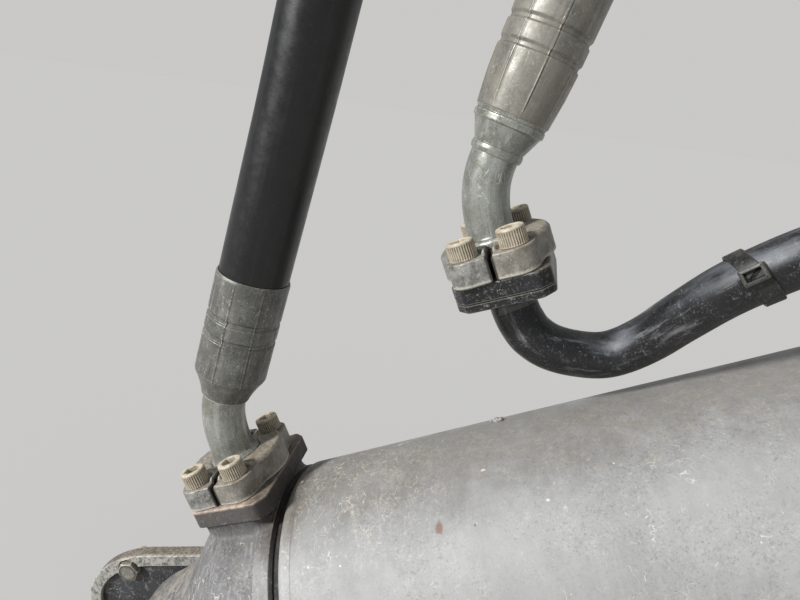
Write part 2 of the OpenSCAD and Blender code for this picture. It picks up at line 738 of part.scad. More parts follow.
module rod_eye() {
    color([0.36, 0.37, 0.38]) in_line() translate([rod_eye_x, 0, 0]) difference() {
        union() {
            intersection() {
                translate([0, eye_w / 2, 0]) rotate([90, 0, 0]) linear_extrude(eye_w) polygon(rod_eye_outline());
                translate([-rod_eye_len - 1, 0, 0]) rotate([0, 90, 0]) cylinder(r = rod_eye_r + 8, h = far);
            }
            translate([-rod_eye_len, 0, 0]) rotate([0, 90, 0]) rotate_extrude()
                polygon([[0, 0], [rod_d / 2 + 3, 0], [rod_d / 2 + 5, 2], [rod_d / 2 + 5, 14], [rod_d / 2 - 10, 30],
                    [0, 30]]);
        }
        across(bush_r + seat_gap, eye_w + 2);
    }
}

module rod_bush() {
    color([0.55, 0.45, 0.3]) in_line() translate([rod_eye_x, 0, 0]) difference() {
        across(bush_r, eye_w);
        across(bush_bore, eye_w + 2);
    }
}

pivot_pin();
pivot_bolts();
pin_cap();
pin_cap_bolt();
base_casting();
base_bush();
dust_ring();
barrel_tube();
gland();
gland_bolts();
wiper();
base_clamp_rear();
base_clamp_front();
base_clamp_screws();
base_elbow();
base_ferrule();
base_hose();
base_hose_end();
pipe_adapter();
transfer_pipe();
pipe_tie();
pipe_saddles();
pipe_end_flange();
head_clamp_rear();
head_clamp_front();
head_clamp_screws();
head_elbow();
head_ferrule();
rod();
piston();
rod_eye();
rod_bush();
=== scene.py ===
import json
import math
import bmesh
import bpy
import numpy as np
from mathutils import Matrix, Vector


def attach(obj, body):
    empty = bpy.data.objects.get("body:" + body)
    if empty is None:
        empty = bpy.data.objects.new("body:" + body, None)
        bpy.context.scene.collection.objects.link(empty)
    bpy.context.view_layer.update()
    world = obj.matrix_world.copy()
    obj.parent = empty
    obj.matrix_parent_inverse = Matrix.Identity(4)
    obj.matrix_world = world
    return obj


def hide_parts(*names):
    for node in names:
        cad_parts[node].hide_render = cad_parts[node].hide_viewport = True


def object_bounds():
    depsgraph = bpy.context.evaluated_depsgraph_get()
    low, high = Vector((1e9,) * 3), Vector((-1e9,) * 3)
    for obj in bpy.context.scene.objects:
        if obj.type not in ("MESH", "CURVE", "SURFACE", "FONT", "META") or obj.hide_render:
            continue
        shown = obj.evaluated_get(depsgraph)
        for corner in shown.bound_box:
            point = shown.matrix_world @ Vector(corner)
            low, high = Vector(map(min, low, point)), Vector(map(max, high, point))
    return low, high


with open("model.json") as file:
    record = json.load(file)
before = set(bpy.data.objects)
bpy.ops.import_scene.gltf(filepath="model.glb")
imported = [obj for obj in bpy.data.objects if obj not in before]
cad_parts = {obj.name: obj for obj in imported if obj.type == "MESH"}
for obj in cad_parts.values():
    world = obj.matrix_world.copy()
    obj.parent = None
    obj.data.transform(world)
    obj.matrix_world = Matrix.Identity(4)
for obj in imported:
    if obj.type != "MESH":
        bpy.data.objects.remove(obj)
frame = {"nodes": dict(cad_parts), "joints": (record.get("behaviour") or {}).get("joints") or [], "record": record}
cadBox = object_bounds()

# The cylinder's own frame, in mm: X up the barrel from the pivot pin, Y away from the camera, Z off its axis
joints = {joint["name"]: joint for joint in frame["joints"]}
mounts = {mount["name"]: mount for mount in frame["record"]["mounts"]}
pinAt = np.array(joints["swing"]["pos_m"])
alongBarrel = np.array(joints["extend"]["axis"])
acrossBarrel = np.array([0.0, 1.0, 0.0])
offBarrel = np.cross(alongBarrel, acrossBarrel)
barrelSlope = math.atan2(alongBarrel[2], alongBarrel[0])
rodEyeAt = np.array(mounts["rod_eye_bore"]["pos_m"]) - pinAt
pinDrop = 1000 * rodEyeAt @ offBarrel
rodEyeX = 1000 * rodEyeAt @ alongBarrel


# Cylinder frame in mm to row frame in m: the pin's place plus each coordinate along its own direction
def toRow(points):
    p = np.asarray(points, float)
    lift = p[..., 2:3] + pinDrop
    return pinAt + (p[..., 0:1] * alongBarrel + p[..., 1:2] * acrossBarrel + lift * offBarrel) / 1000


# A vector divided by its length
def unit(v):
    v = np.asarray(v, float)
    return v / np.maximum(np.linalg.norm(v, axis=-1, keepdims=True), 1e-12)


# Camera, floor and lights

photoView = {
    "place": (0.1817, -0.4444, 0.4672), "turn": (72.208, -7.569, 8.679), "lens": 27.0, "sensor": 36.0,
}


# The camera that looks as the photograph does
def makeCamera():
    data = bpy.data.cameras.new("photoCamera")
    data.lens = photoView["lens"]
    data.sensor_width = photoView["sensor"]
    data.clip_start = 0.01
    data.dof.use_dof = False
    camera = bpy.data.objects.new("photoCamera", data)
    camera.location = photoView["place"]
    camera.rotation_euler = [math.radians(a) for a in photoView["turn"]]
    bpy.context.scene.collection.objects.link(camera)
    bpy.context.scene.camera = camera


studio = {
    "floorDrop": 0.012, "floorSize": 400.0, "floorColour": (0.62, 0.61, 0.59, 1),
    "worldColour": (0.88, 0.90, 0.93, 1), "worldStrength": 0.42, "backdrop": (0.585, 0.580, 0.568, 1),
    "sunWay": (0.74, 0.56, -0.44), "sunStrength": 4.3, "sunSpread": 9.0,
}


# The rotation that turns a lamp's -Z to a direction
def lampTurn(way):
    return math.atan2(math.hypot(way[0], way[1]), -way[2]), 0, math.atan2(-way[0], way[1])


# The world lights the part, and the camera sees the pale backdrop in its place
def makeStudio():
    world = bpy.data.worlds.new("studioWorld")
    world.use_nodes = True
    tree = world.node_tree
    light, seen = tree.nodes.new("ShaderNodeBackground"), tree.nodes.new("ShaderNodeBackground")
    pick, rays = tree.nodes.new("ShaderNodeMixShader"), tree.nodes.new("ShaderNodeLightPath")
    light.inputs["Color"].default_value = studio["worldColour"]
    light.inputs["Strength"].default_value = studio["worldStrength"]
    seen.inputs["Color"].default_value = studio["backdrop"]
    tree.links.new(rays.outputs["Is Camera Ray"], pick.inputs[0])
    tree.links.new(light.outputs[0], pick.inputs[1])
    tree.links.new(seen.outputs[0], pick.inputs[2])
    tree.links.new(pick.outputs[0], tree.nodes["World Output"].inputs["Surface"])
    bpy.context.scene.world = world
    half = studio["floorSize"] / 2
    low = cadBox[0][2] - studio["floorDrop"]
    mesh = bpy.data.meshes.new("floor")
    mesh.from_pydata([(-half, -half, low), (half, -half, low), (half, half, low), (-half, half, low)], [],
                     [(0, 1, 2, 3)])
    floor = bpy.data.objects.new("floor", mesh)
    bpy.context.scene.collection.objects.link(floor)
    finish = bpy.data.materials.new("floorPaint")
    finish.use_nodes = True
    sockets = finish.node_tree.nodes["Principled BSDF"].inputs
    sockets["Base Color"].default_value = studio["floorColour"]
    sockets["Roughness"].default_value = 1.0
    sockets["Specular IOR Level"].default_value = 0.0
    mesh.materials.append(finish)
    data = bpy.data.lights.new("sun", "SUN")
    data.energy = studio["sunStrength"]
    data.angle = math.radians(studio["sunSpread"])
    sun = bpy.data.objects.new("sun", data)
    sun.rotation_euler = lampTurn(studio["sunWay"])
    bpy.context.scene.collection.objects.link(sun)


makeCamera()
makeStudio()
print("camera and studio ready")

# Shapes: each shell is a dictionary of points, quads and end caps


# Directions evenly round the circle, in radians
def allRound(count):
    return np.linspace(0, 2 * np.pi, count, endpoint=False)


# The heights of some rows, as the profile of a lathe whose radii are given beside it
def heightsOf(rows):
    return np.array([(0, row[0]) for row in rows], float)


# A grid of points (nu, nv, 3): each cell between four neighbours is a quad, and open ends get a cap
def gridShell(points, place=None, flow=None, closeU=False, closeV=True):
    nu, nv = points.shape[:2]
    index = np.arange(nu * nv).reshape(nu, nv)
    if closeU:
        index = np.vstack([index, index[:1]])
    if closeV:
        index = np.hstack([index, index[:, :1]])
    quads = np.stack([index[:-1, :-1], index[:-1, 1:], index[1:, 1:], index[1:, :-1]], axis=-1).reshape(-1, 4)
    caps = [index[0, :-1][::-1], index[-1, :-1]] if closeV and not closeU else []
    local = points.reshape(-1, 3)
    return {"points": place(local) if place else local, "quads": quads, "caps": caps,
            "flow": local if flow is None else flow.reshape(-1, 3)}


# The signed volume under each face says if the shell is inside out, and then its faces are turned
def outward(shell):
    p, q = shell["points"], shell["quads"]
    a, b, c, d = (p[q[:, k]] for k in range(4))
    volume = np.einsum("ij,ij->i", a, np.cross(b, c)).sum() + np.einsum("ij,ij->i", a, np.cross(c, d)).sum()
    for cap in shell["caps"]:
        ring = p[cap]
        volume += np.einsum("ij,j->i", np.cross(ring, np.roll(ring, -1, axis=0)), ring[0]).sum()
    if volume < 0:
        shell = {**shell, "quads": q[:, ::-1], "caps": [cap[::-1] for cap in shell["caps"]]}
    return shell


# How far each point stands out of its neighbours: the mean slope of its edges below its normal, and above it
def edgeMarks(mesh):
    count = len(mesh.vertices)
    place, normal = np.empty(count * 3, np.float32), np.empty(count * 3, np.float32)
    mesh.vertices.foreach_get("co", place)
    mesh.vertex_normals.foreach_get("vector", normal)
    ends = np.empty(len(mesh.edges) * 2, np.int32)
    mesh.edges.foreach_get("vertices", ends)
    a, b = ends.reshape(-1, 2).T
    place, normal = place.reshape(-1, 3), normal.reshape(-1, 3)
    way = unit(place[b] - place[a])
    slope = np.bincount(a, -(way * normal[a]).sum(1), count) + np.bincount(b, (way * normal[b]).sum(1), count)
    slope /= np.maximum(np.bincount(a, minlength=count) + np.bincount(b, minlength=count), 1)
    for name, value in (("wear", slope), ("hollow", -slope)):
        marks = mesh.attributes.new(name, "FLOAT", "POINT")
        marks.data.foreach_set("value", np.clip(value, 0, 1).astype(np.float32))


# A shell's points in the row frame, with its faces outward; a kept shell already is so
def inRow(shell):
    if shell.get("kept"):
        return shell
    return outward(shell if shell.get("row") else {**shell, "points": toRow(shell["points"])})


# One object from its shells, with its body, its slot, its finish and the nodes that it replaces
def makePiece(name, shells, body, slotName, replaced, smoothAngle=32.0, finish=None):
    shells = [inRow(shell) for shell in shells]
    starts = np.cumsum([0] + [len(s["points"]) for s in shells])
    points = np.concatenate([s["points"] for s in shells])
    quads = np.concatenate([s["quads"] + start for s, start in zip(shells, starts)])
    caps = [cap + start for s, start in zip(shells, starts) for cap in s["caps"]]
    loops = np.concatenate([quads.ravel()] + caps).astype(np.int32)
    sizes = np.concatenate([np.full(len(quads), 4), [len(cap) for cap in caps]]).astype(np.int32)
    mesh = bpy.data.meshes.new(name)
    mesh.vertices.add(len(points))
    mesh.vertices.foreach_set("co", points.astype(np.float32).ravel())
    mesh.loops.add(len(loops))
    mesh.loops.foreach_set("vertex_index", loops)
    mesh.polygons.add(len(sizes))
    mesh.polygons.foreach_set("loop_start", np.concatenate([[0], np.cumsum(sizes)[:-1]]).astype(np.int32))
    mesh.update(calc_edges=True)
    edgeMarks(mesh)
    flow = np.concatenate([s["flow"] for s in shells]).astype(np.float32)
    mesh.attributes.new("flow", "FLOAT_VECTOR", "POINT").data.foreach_set("vector", flow.ravel())
    mesh.validate()
    mesh.shade_smooth()
    mesh.set_sharp_from_angle(angle=math.radians(smoothAngle))
    mesh.materials.append(finishes[finish or slotName])
    piece = bpy.data.objects.new(name, mesh)
    bpy.context.scene.collection.objects.link(piece)
    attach(piece, body)
    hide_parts(*replaced)
    return piece


# A line of corners (a, b, r): each corner is cut r from its point on both sides and filled with a curve
def rounded(corners, steps=4, closed=False):
    c = np.array([corner[:2] for corner in corners], float)
    r = np.array([corner[2] for corner in corners], float)
    line = []
    for i in range(len(c)):
        if r[i] == 0 or (not closed and i in (0, len(c) - 1)):
            line.append(c[i:i + 1])
            continue
        a = c[i] + unit(c[i - 1] - c[i]) * r[i]
        b = c[i] + unit(c[(i + 1) % len(c)] - c[i]) * r[i]
        t = np.linspace(0, 1, steps + 1)[:, None]
        line.append(a * (1 - t) ** 2 + 2 * c[i] * t * (1 - t) + b * t ** 2)
    return np.concatenate(line)


# More points on a line: one guard away from each end of a long stretch, and evenly between those
def spaced(line, step, guard=1.0):
    more = [line[:1]]
    for a, b in zip(line[:-1], line[1:]):
        length = np.linalg.norm(b - a)
        if length > 2.5 * guard:
            count = max(1, math.ceil((length - 2 * guard) / step))
            t = np.linspace(guard / length, 1 - guard / length, count + 1)[:, None]
            more.append(a + (b - a) * t)
        more.append(b[None])
    return np.concatenate(more)


# Turns local Z to a direction: first about Y by the tilt from Z, then about Z by the heading
def aimed(points, at, way):
    way = unit(way)
    tilt, heading = math.acos(way[2]), math.atan2(way[1], way[0])
    x = np.array([math.cos(heading) * math.cos(tilt), math.sin(heading) * math.cos(tilt), -math.sin(tilt)])
    y = np.array([-math.sin(heading), math.cos(heading), 0.0])
    p = np.asarray(points, float)
    return np.asarray(at, float) + p[..., 0:1] * x + p[..., 1:2] * y + p[..., 2:3] * way


# A place for a shell whose local Z goes that way
def aim(at, way):
    return lambda points: aimed(points, at, way)


# Points turned about Z by some degrees
def turned(points, degrees):
    a = math.radians(degrees)
    x, y = points[..., 0:1], points[..., 1:2]
    return np.concatenate([x * math.cos(a) - y * math.sin(a), x * math.sin(a) + y * math.cos(a),
                           points[..., 2:]], axis=-1)


# A profile (radius, place) turned round local Z; radii, if given, hold a radius for each place and direction
def latheShell(profile, place=None, sides=128, radii=None, closed=False):
    turn = allRound(sides)
    radius = profile[:, 0:1] + 0 * turn if radii is None else radii
    height = profile[:, 1:2] + 0 * turn
    return gridShell(np.stack([radius * np.cos(turn), radius * np.sin(turn), height], axis=-1), place,
                     closeU=closed)


# A round tube: at each point of the route, a ring of that radius square to the way the route goes
def tubeShell(route, radius, sides=48, closed=False):
    route = np.asarray(route, float)
    if closed:
        way = unit(np.roll(route, -1, axis=0) - np.roll(route, 1, axis=0))
    else:
        way = unit(np.gradient(route, axis=0))
    hint = np.where(np.abs(way[:, 1:2]) < 0.9, [0, 1.0, 0], [1.0, 0, 0])
    side = unit(np.cross(hint, way))
    lift = np.cross(way, side)
    turn = allRound(sides)
    radius = np.broadcast_to(np.asarray(radius, float), (len(route),))[:, None, None]
    ring = np.cos(turn)[None, :, None] * side[:, None] + np.sin(turn)[None, :, None] * lift[:, None]
    run = np.concatenate([[0], np.cumsum(np.linalg.norm(np.diff(route, axis=0), axis=1))])[:, None] + 0 * turn
    flow = np.stack([radius[..., 0] * np.cos(turn), radius[..., 0] * np.sin(turn), run], axis=-1)
    return gridShell(route[:, None] + radius * ring, flow=flow, closeU=closed)


# The Catmull-Rom curve from b to c at the share t, with a before them and d after
def between(a, b, c, d, t):
    bend, twist = 2 * a - 5 * b + 4 * c - d, 3 * b - a - 3 * c + d
    return 0.5 * (2 * b + (c - a) * t + bend * t ** 2 + twist * t ** 3)


# A smooth curve through the points, with the same count of steps between each two
def smoothRoute(points, steps):
    p = np.asarray(points, float)
    before, after = np.vstack([p[:1], p[:-1]]), np.vstack([p[2:], p[-1:]])
    a, b, c, d = before[:-1], p[:-1], p[1:], after
    t = np.linspace(0, 1, steps, endpoint=False)[None, :, None]
    a, b, c, d = (v[:, None, :] for v in (a, b, c, d))
    return np.vstack([between(a, b, c, d, t).reshape(-1, 3), p[-1:]])


# An outline moved inwards: each point goes along the mitre of its two sides
def inset(outline, distance):
    sideA, sideB = unit(outline - np.roll(outline, 1, axis=0)), unit(np.roll(outline, -1, axis=0) - outline)
    a, b = (np.column_stack([-s[:, 1], s[:, 0]]) for s in (sideA, sideB))
    return outline + distance * (a + b) / (1 + (a * b).sum(1, keepdims=True))


# Rows (height, inset) of a plate from z0 to z1 with two rounded edges, and a guard row beside each edge
def plateRows(z0, z1, bevel, guard=1.5):
    turn = np.linspace(0, np.pi / 2, 5)
    foot = [(z0 + bevel * (1 - math.cos(a)), bevel * (1 - math.sin(a))) for a in turn]
    head = [(z1 - bevel * (1 - math.sin(a)), bevel * (1 - math.cos(a))) for a in turn]
    side = [(z0 + bevel + guard, 0), (z1 - bevel - guard, 0)]
    return [(z0, bevel + guard)] + foot + side + head + [(z1, bevel + guard)]


# An outline stacked up in rows of (height, inset)
def stackShell(outline, rows, place=None):
    levels = [np.column_stack([inset(outline, d), np.full(len(outline), h)]) for h, d in rows]
    return gridShell(np.array(levels), place)


# The distance to a hexagon with its corners at r: the flat's distance over the cosine of the turn from it
def hexRadius(r, turn):
    return r * math.cos(math.pi / 6) / np.cos(turn % (math.pi / 3) - math.pi / 6)


# A bolt head: hexagon rows cut back by a cone at the top, and a low round boss
def hexBolt(cornerR, height, shankR, shankFrom, place, sides=72):
    turn = allRound(sides)
    hexagon = hexRadius(cornerR, turn)
    flat = cornerR * math.cos(math.pi / 6)
    rows = [(shankFrom, shankR, 0), (0, shankR, 0), (0, flat * 1.04, 0), (0.5, cornerR, 1),
            (height * 0.5, cornerR, 1)]
    rows += [(height - 1.3 + 0.325 * i, cornerR - 0.62 * i, 1) for i in range(5)]
    rows += [(height, flat * 0.9, 0), (height - 0.3, flat * 0.82, 0), (height - 0.3, flat * 0.4, 0)]
    radii = np.array([np.minimum(hexagon, r) if hexed else np.full(sides, r) for _, r, hexed in rows])
    return latheShell(heightsOf(rows), place, sides, radii)


# A socket head: ribs round its side, a rounded top edge and a hexagon sunk into the top
def socketScrew(r, height, place, ribs=34, socket=5.8, deep=6.0, foot=3.0):
    sides = max(6 * ribs, 96)
    turn = allRound(sides)
    rib = 0.5 - 0.5 * np.cos(ribs * turn)
    rows = [(-foot, r * 0.6, 0, 0), (0, r * 0.6, 0, 0), (0, r - 0.7, 0, 0), (0.6, r, 0.5, 0),
            (1.4, r, 1, 0), (height * 0.5, r, 1, 0), (height - 2.6, r, 1, 0), (height - 1.9, r, 0.4, 0),
            (height - 1.5, r, 0, 0), (height - 0.8, r - 0.18, 0, 0), (height - 0.3, r - 0.6, 0, 0),
            (height, r - 1.3, 0, 0), (height, r - 2.2, 0, 0)]
    rows += [(height, socket + 0.7, 0, 1), (height - 0.2, socket + 0.3, 0, 1), (height - 0.7, socket, 0, 1),
             (height - deep + 0.6, socket, 0, 1), (height - deep, socket - 0.4, 0, 1)]
    radii = np.array([hexRadius(a, turn) if hexed else a - 0.55 * amount * rib
                      for _, a, amount, hexed in rows])
    return latheShell(heightsOf(rows), place, sides, radii)


# The outline's distance from its middle in each direction, by interpolation round it
def rayRadius(outline, turn):
    ring = spaced(np.vstack([outline, outline[:1]]), 0.6, 0.2)
    angle = np.arctan2(ring[:, 1], ring[:, 0]) % (2 * np.pi)
    order = np.argsort(angle)
    return np.interp(turn, angle[order], np.linalg.norm(ring, axis=1)[order], period=2 * np.pi)


# A CAD node's copy as one soft casting: merged, rebuilt on voxels and smoothed
def castShell(nodeName, voxel=0.002, rounds=16):
    copy = bpy.data.objects.new("casting", frame["nodes"][nodeName].data.copy())
    bpy.context.scene.collection.objects.link(copy)
    work = bmesh.new()
    work.from_mesh(copy.data)
    bmesh.ops.remove_doubles(work, verts=work.verts, dist=2e-6)
    work.to_mesh(copy.data)
    work.free()
    remesh = copy.modifiers.new("voxels", "REMESH")
    remesh.mode = "VOXEL"
    remesh.voxel_size = voxel
    smooth = copy.modifiers.new("soften", "SMOOTH")
    smooth.factor = 0.5
    smooth.iterations = rounds
    mesh = bpy.data.meshes.new_from_object(copy.evaluated_get(bpy.context.evaluated_depsgraph_get()))
    points = np.empty(len(mesh.vertices) * 3, np.float32)
    mesh.vertices.foreach_get("co", points)
    quads = np.empty(len(mesh.loops), np.int32)
    mesh.loops.foreach_get("vertex_index", quads)
    points = points.reshape(-1, 3).astype(float)
    bpy.data.objects.remove(copy)
    return {"points": points, "quads": quads.reshape(-1, 4), "caps": [], "flow": points * 1000, "kept": True}


# Materials: each slot's finish is layers of tone over a mottled base


# 0 to 255 display values to Blender's linear colour
def tint(*values):
    v = np.array(values) / 255
    return tuple(np.where(v < 0.04045, v / 12.92, ((v + 0.055) / 1.055) ** 2.4).tolist())


# One material: each call adds a node and hands back its output
class Paint:
    def __init__(self, name, metal=0.0):
        self.material = bpy.data.materials.new(name)
        self.material.use_nodes = True
        self.tree = self.material.node_tree
        self.shader = self.tree.nodes["Principled BSDF"]
        self.shader.inputs["Metallic"].default_value = metal
        coordinate = self.node("ShaderNodeTexCoord")
        pinPlace = np.array([pinAt @ alongBarrel, pinAt @ acrossBarrel, pinAt @ offBarrel])
        shift = -1000 * pinPlace - (0, 0, pinDrop)
        self.place = self.spread(coordinate.outputs["Object"], (1000, 1000, 1000), shift, (0, barrelSlope, 0))
        self.normal = coordinate.outputs["Normal"]
        self.flow = self.node("ShaderNodeAttribute", attribute_name="flow").outputs["Vector"]
        self.wear = self.node("ShaderNodeAttribute", attribute_name="wear").outputs["Fac"]
        self.hollow = self.node("ShaderNodeAttribute", attribute_name="hollow").outputs["Fac"]

    # A node with its settings, and its inputs linked or set
    def node(self, kind, inputs=(), **settings):
        made = self.tree.nodes.new(kind)
        for key, value in settings.items():
            setattr(made, key, value)
        for key, value in dict(inputs).items():
            socket = made.inputs[key]
            if isinstance(value, bpy.types.NodeSocket):
                self.tree.links.new(value, socket)
            elif socket.type == "RGBA":
                socket.default_value = (*value, 1)
            else:
                socket.default_value = value
        return made

    # A place scaled, turned and shifted
    def spread(self, vector, scale=(1, 1, 1), shift=(0, 0, 0), turn=(0, 0, 0)):
        inputs = {"Vector": vector, "Scale": scale, "Location": tuple(shift), "Rotation": turn}
        return self.node("ShaderNodeMapping", inputs).outputs["Vector"]

    # Noise from 0 to 1 whose patches are about that size in mm
    def noise(self, size, detail=4.0, rough=0.55, on=None, stretch=(1, 1, 1), shift=0.0, warp=0.0):
        vector = self.spread(on or self.place, stretch, (shift, shift, shift))
        inputs = {"Vector": vector, "Scale": 1 / size, "Detail": detail, "Roughness": rough,
                  "Distortion": warp}
        return self.node("ShaderNodeTexNoise", inputs).outputs["Fac"]

    # Thin winding lines: where a noise passes its middle value
    def contour(self, size, width, on=None, stretch=(1, 1, 1), turn=(0, 0, 0)):
        vector = self.spread(on or self.place, (1, 1, 1), (0, 0, 0), tuple(math.radians(a) for a in turn))
        level = self.noise(size, 3, 0.5, vector, stretch, 13.0)
        return self.ramp(self.calc("ABSOLUTE", self.calc("SUBTRACT", level, 0.5)), width, width * 0.3)

    # From start at low to end at high, soft at both
    def ramp(self, value, low, high, start=0.0, end=1.0):
        inputs = {"Value": value, "From Min": low, "From Max": high, "To Min": start, "To Max": end}
        return self.node("ShaderNodeMapRange", inputs, interpolation_type="SMOOTHSTEP").outputs["Result"]

    # One sum of two values
    def calc(self, operation, a, b=0.0):
        return self.node("ShaderNodeMath", {0: a, 1: b}, operation=operation).outputs[0]

    # Colour a where the factor is 0 and b where it is 1
    def mix(self, factor, a, b):
        return self.node("ShaderNodeMix", {0: factor, 6: a, 7: b}, data_type="RGBA").outputs[2]

    # One coordinate of a place
    def part(self, vector, axis):
        return self.node("ShaderNodeSeparateXYZ", {0: vector}).outputs[axis]

    # How much the surface faces a direction: 1 fully and -1 away
    def facing(self, direction):
        return self.node("ShaderNodeVectorMath", {0: self.normal, 1: direction},
                         operation="DOT_PRODUCT").outputs["Value"]

    # 1 inside an uneven ellipsoid and 0 outside it
    def spot(self, at, size, edge=0.5):
        at, size = np.array(at, float), np.array(size, float)
        scaled = self.spread(self.place, tuple(1 / size), tuple(-at / size))
        away = self.node("ShaderNodeVectorMath", {0: scaled}, operation="LENGTH").outputs["Value"]
        uneven = self.calc("MULTIPLY_ADD", self.noise(float(size.min()) * 0.7, 3), edge)
        return self.ramp(self.calc("ADD", away, uneven), 1.15 + edge / 2, 0.8 + edge / 2)

    # The normal over a height from 0 to 1 that stands for a depth in mm
    def bump(self, height, depth, normal=None):
        inputs = {"Height": height, "Distance": depth / 1000, "Strength": 1.0}
        if normal is not None:
            inputs["Normal"] = normal
        return self.node("ShaderNodeBump", inputs).outputs["Normal"]

    # A mask times an amount
    def scaled(self, mask, amount):
        return self.calc("MULTIPLY", mask, amount)

    # The product of some masks
    def both(self, first, *others):
        for other in others:
            first = self.calc("MULTIPLY", first, other)
        return first

    # A value plus noise of that amount
    def shaken(self, value, amount, *size, **noise):
        return self.calc("ADD", value, self.scaled(self.noise(*size, **noise), amount))

    # A colour (0 to 255) laid over the tone where the mask is 1
    def layer(self, tone, mask, amount, colour):
        return self.mix(self.scaled(mask, amount), tone, tint(*colour))


# The usual finish, in order: mottle, streaks, specks, scratches, own marks, darker hollows, worn edges and dust
def weathered(name, look):
    p = Paint(name, look.get("metal", 0.0))
    along = p.flow if look.get("onFlow") else p.place
    darker, lighter = look["tones"]
    tone = p.mix(p.ramp(p.noise(look["mottle"], 5, 0.62), 0.34, 0.66), tint(*darker), tint(*lighter))
    if "streak" in look:
        k = look["streak"]
        mask = p.ramp(p.noise(k["size"], 5, 0.62, along, k["stretch"]), k.get("from", 0.48), k.get("to", 0.7))
        tone = p.layer(tone, mask, k["amount"], k["tone"])
    patch = p.ramp(p.noise(look["mottle"] * 0.6, 3, 0.6, shift=21.0), 0.38, 0.6, 0.35, 1.0)
    for size, share in ((look["grain"], 1.0), (look["grain"] * 3.2, 0.55)):
        grain = p.noise(size, 4, 0.72, shift=size)
        for kind, low, high in (("dark", 0.45, 0.33), ("light", 0.57, 0.69)):
            specks = p.both(p.ramp(grain, low, high), patch)
            tone = p.layer(tone, specks, look[kind + "Specks"] * share, look[kind])
    lines = None
    for k in look.get("scratches", ()):
        mask = p.contour(k["size"], k["width"], along, k.get("stretch", (1, 1, 1)), k.get("turn", (0, 0, 0)))
        start = k.get("from", 0.5)
        mask = p.both(mask, p.ramp(p.noise(k["size"] * 1.3, 4, 0.7, shift=31.0), start, start + 0.12))
        tone = p.layer(tone, mask, k["amount"], k["tone"])
        lines = mask if lines is None else p.calc("MAXIMUM", lines, mask)
    rough = p.ramp(p.noise(look["mottle"] * 0.4, 4, 0.65, shift=7.0), 0.3, 0.7, *look["rough"])
    if name in extras:
        tone, rough = extras[name](p, tone, rough)
    # Darker in the hollows of the mesh, in the look's dark colour
    hollowDark = p.ramp(p.shaken(p.hollow, 0.05, 3.0, 3), 0.05, 0.16)
    tone = p.layer(tone, hollowDark, look.get("hollowDark", 0.7), look["dark"])
    worn = p.ramp(p.shaken(p.wear, 0.34, 1.8, 5, 0.75, shift=3.0), 0.24, 0.34)
    tone = p.layer(tone, worn, look.get("worn", 0.6), look["edge"])
    lift = p.shaken(p.facing((0, 0, 1)), 0.9, look.get("dustSize", 9.0), 5, 0.7, shift=17.0)
    dust = p.scaled(p.ramp(lift, *look.get("dustFrom", (1.0, 1.5))), look.get("dust", 0.4))
    pale, deep = look.get("dustTones", ((186, 174, 154), (122, 108, 90)))
    dusty = p.mix(p.ramp(p.noise(2.6, 4, 0.7), 0.35, 0.65), tint(*deep), tint(*pale))
    tone = p.mix(dust, tone, dusty)
    if name in lastMarks:
        tone = lastMarks[name](p, tone)
    p.tree.links.new(tone, p.shader.inputs["Base Color"])
    rough = p.calc("ADD", rough, p.scaled(dust, 0.35))
    p.tree.links.new(p.calc("MINIMUM", rough, 0.98), p.shader.inputs["Roughness"])
    normal = p.bump(p.noise(look["grain"] * 1.5, 5, 0.7, shift=5.0), look["bump"])
    normal = p.bump(p.noise(look.get("lump", 7.0), 4, 0.6, shift=9.0), look.get("lumpDepth", 0.25), normal)
    if lines is not None:
        normal = p.bump(p.scaled(lines, -1), 0.06, normal)
    p.tree.links.new(normal, p.shader.inputs["Normal"])
    return p.material


cream = (222, 212, 190)
rustBrown = (96, 58, 34)
pinFlangeThick = 14.0

# Single spots on the barrel: each a place and a size in the cylinder's frame in mm, like all marks below
paintMarks = {
    "brown": [((269.7, -62, 84.8), (5.5, 9, 7)), ((292.9, -64.5, 82.9), (1.6, 1.6, 1.6))],
    "cream": [
        ((340.2, -59.5, 86.5), (2.2, 2, 2)), ((177.2, -68.8, 79.3), (1.6, 1.6, 1.6)),
        ((200.2, -71.1, 77.2), (1.8, 1.5, 1.5)), ((302.7, -32.5, 99.8), (3.2, 1.6, 1.2)),
        ((384, -46.9, 94), (1.2, 1.2, 1.2)), ((160.6, -2.5, 105), (2.5, 3, 1.5)),
        ((190.2, 5.7, 104.8), (4, 1.6, 1.5)), ((235, 25.8, 101.8), (5, 2, 1.5)),
        ((160, -67.1, 80.8), (1.0, 1.4, 1.4)),
    ],
}
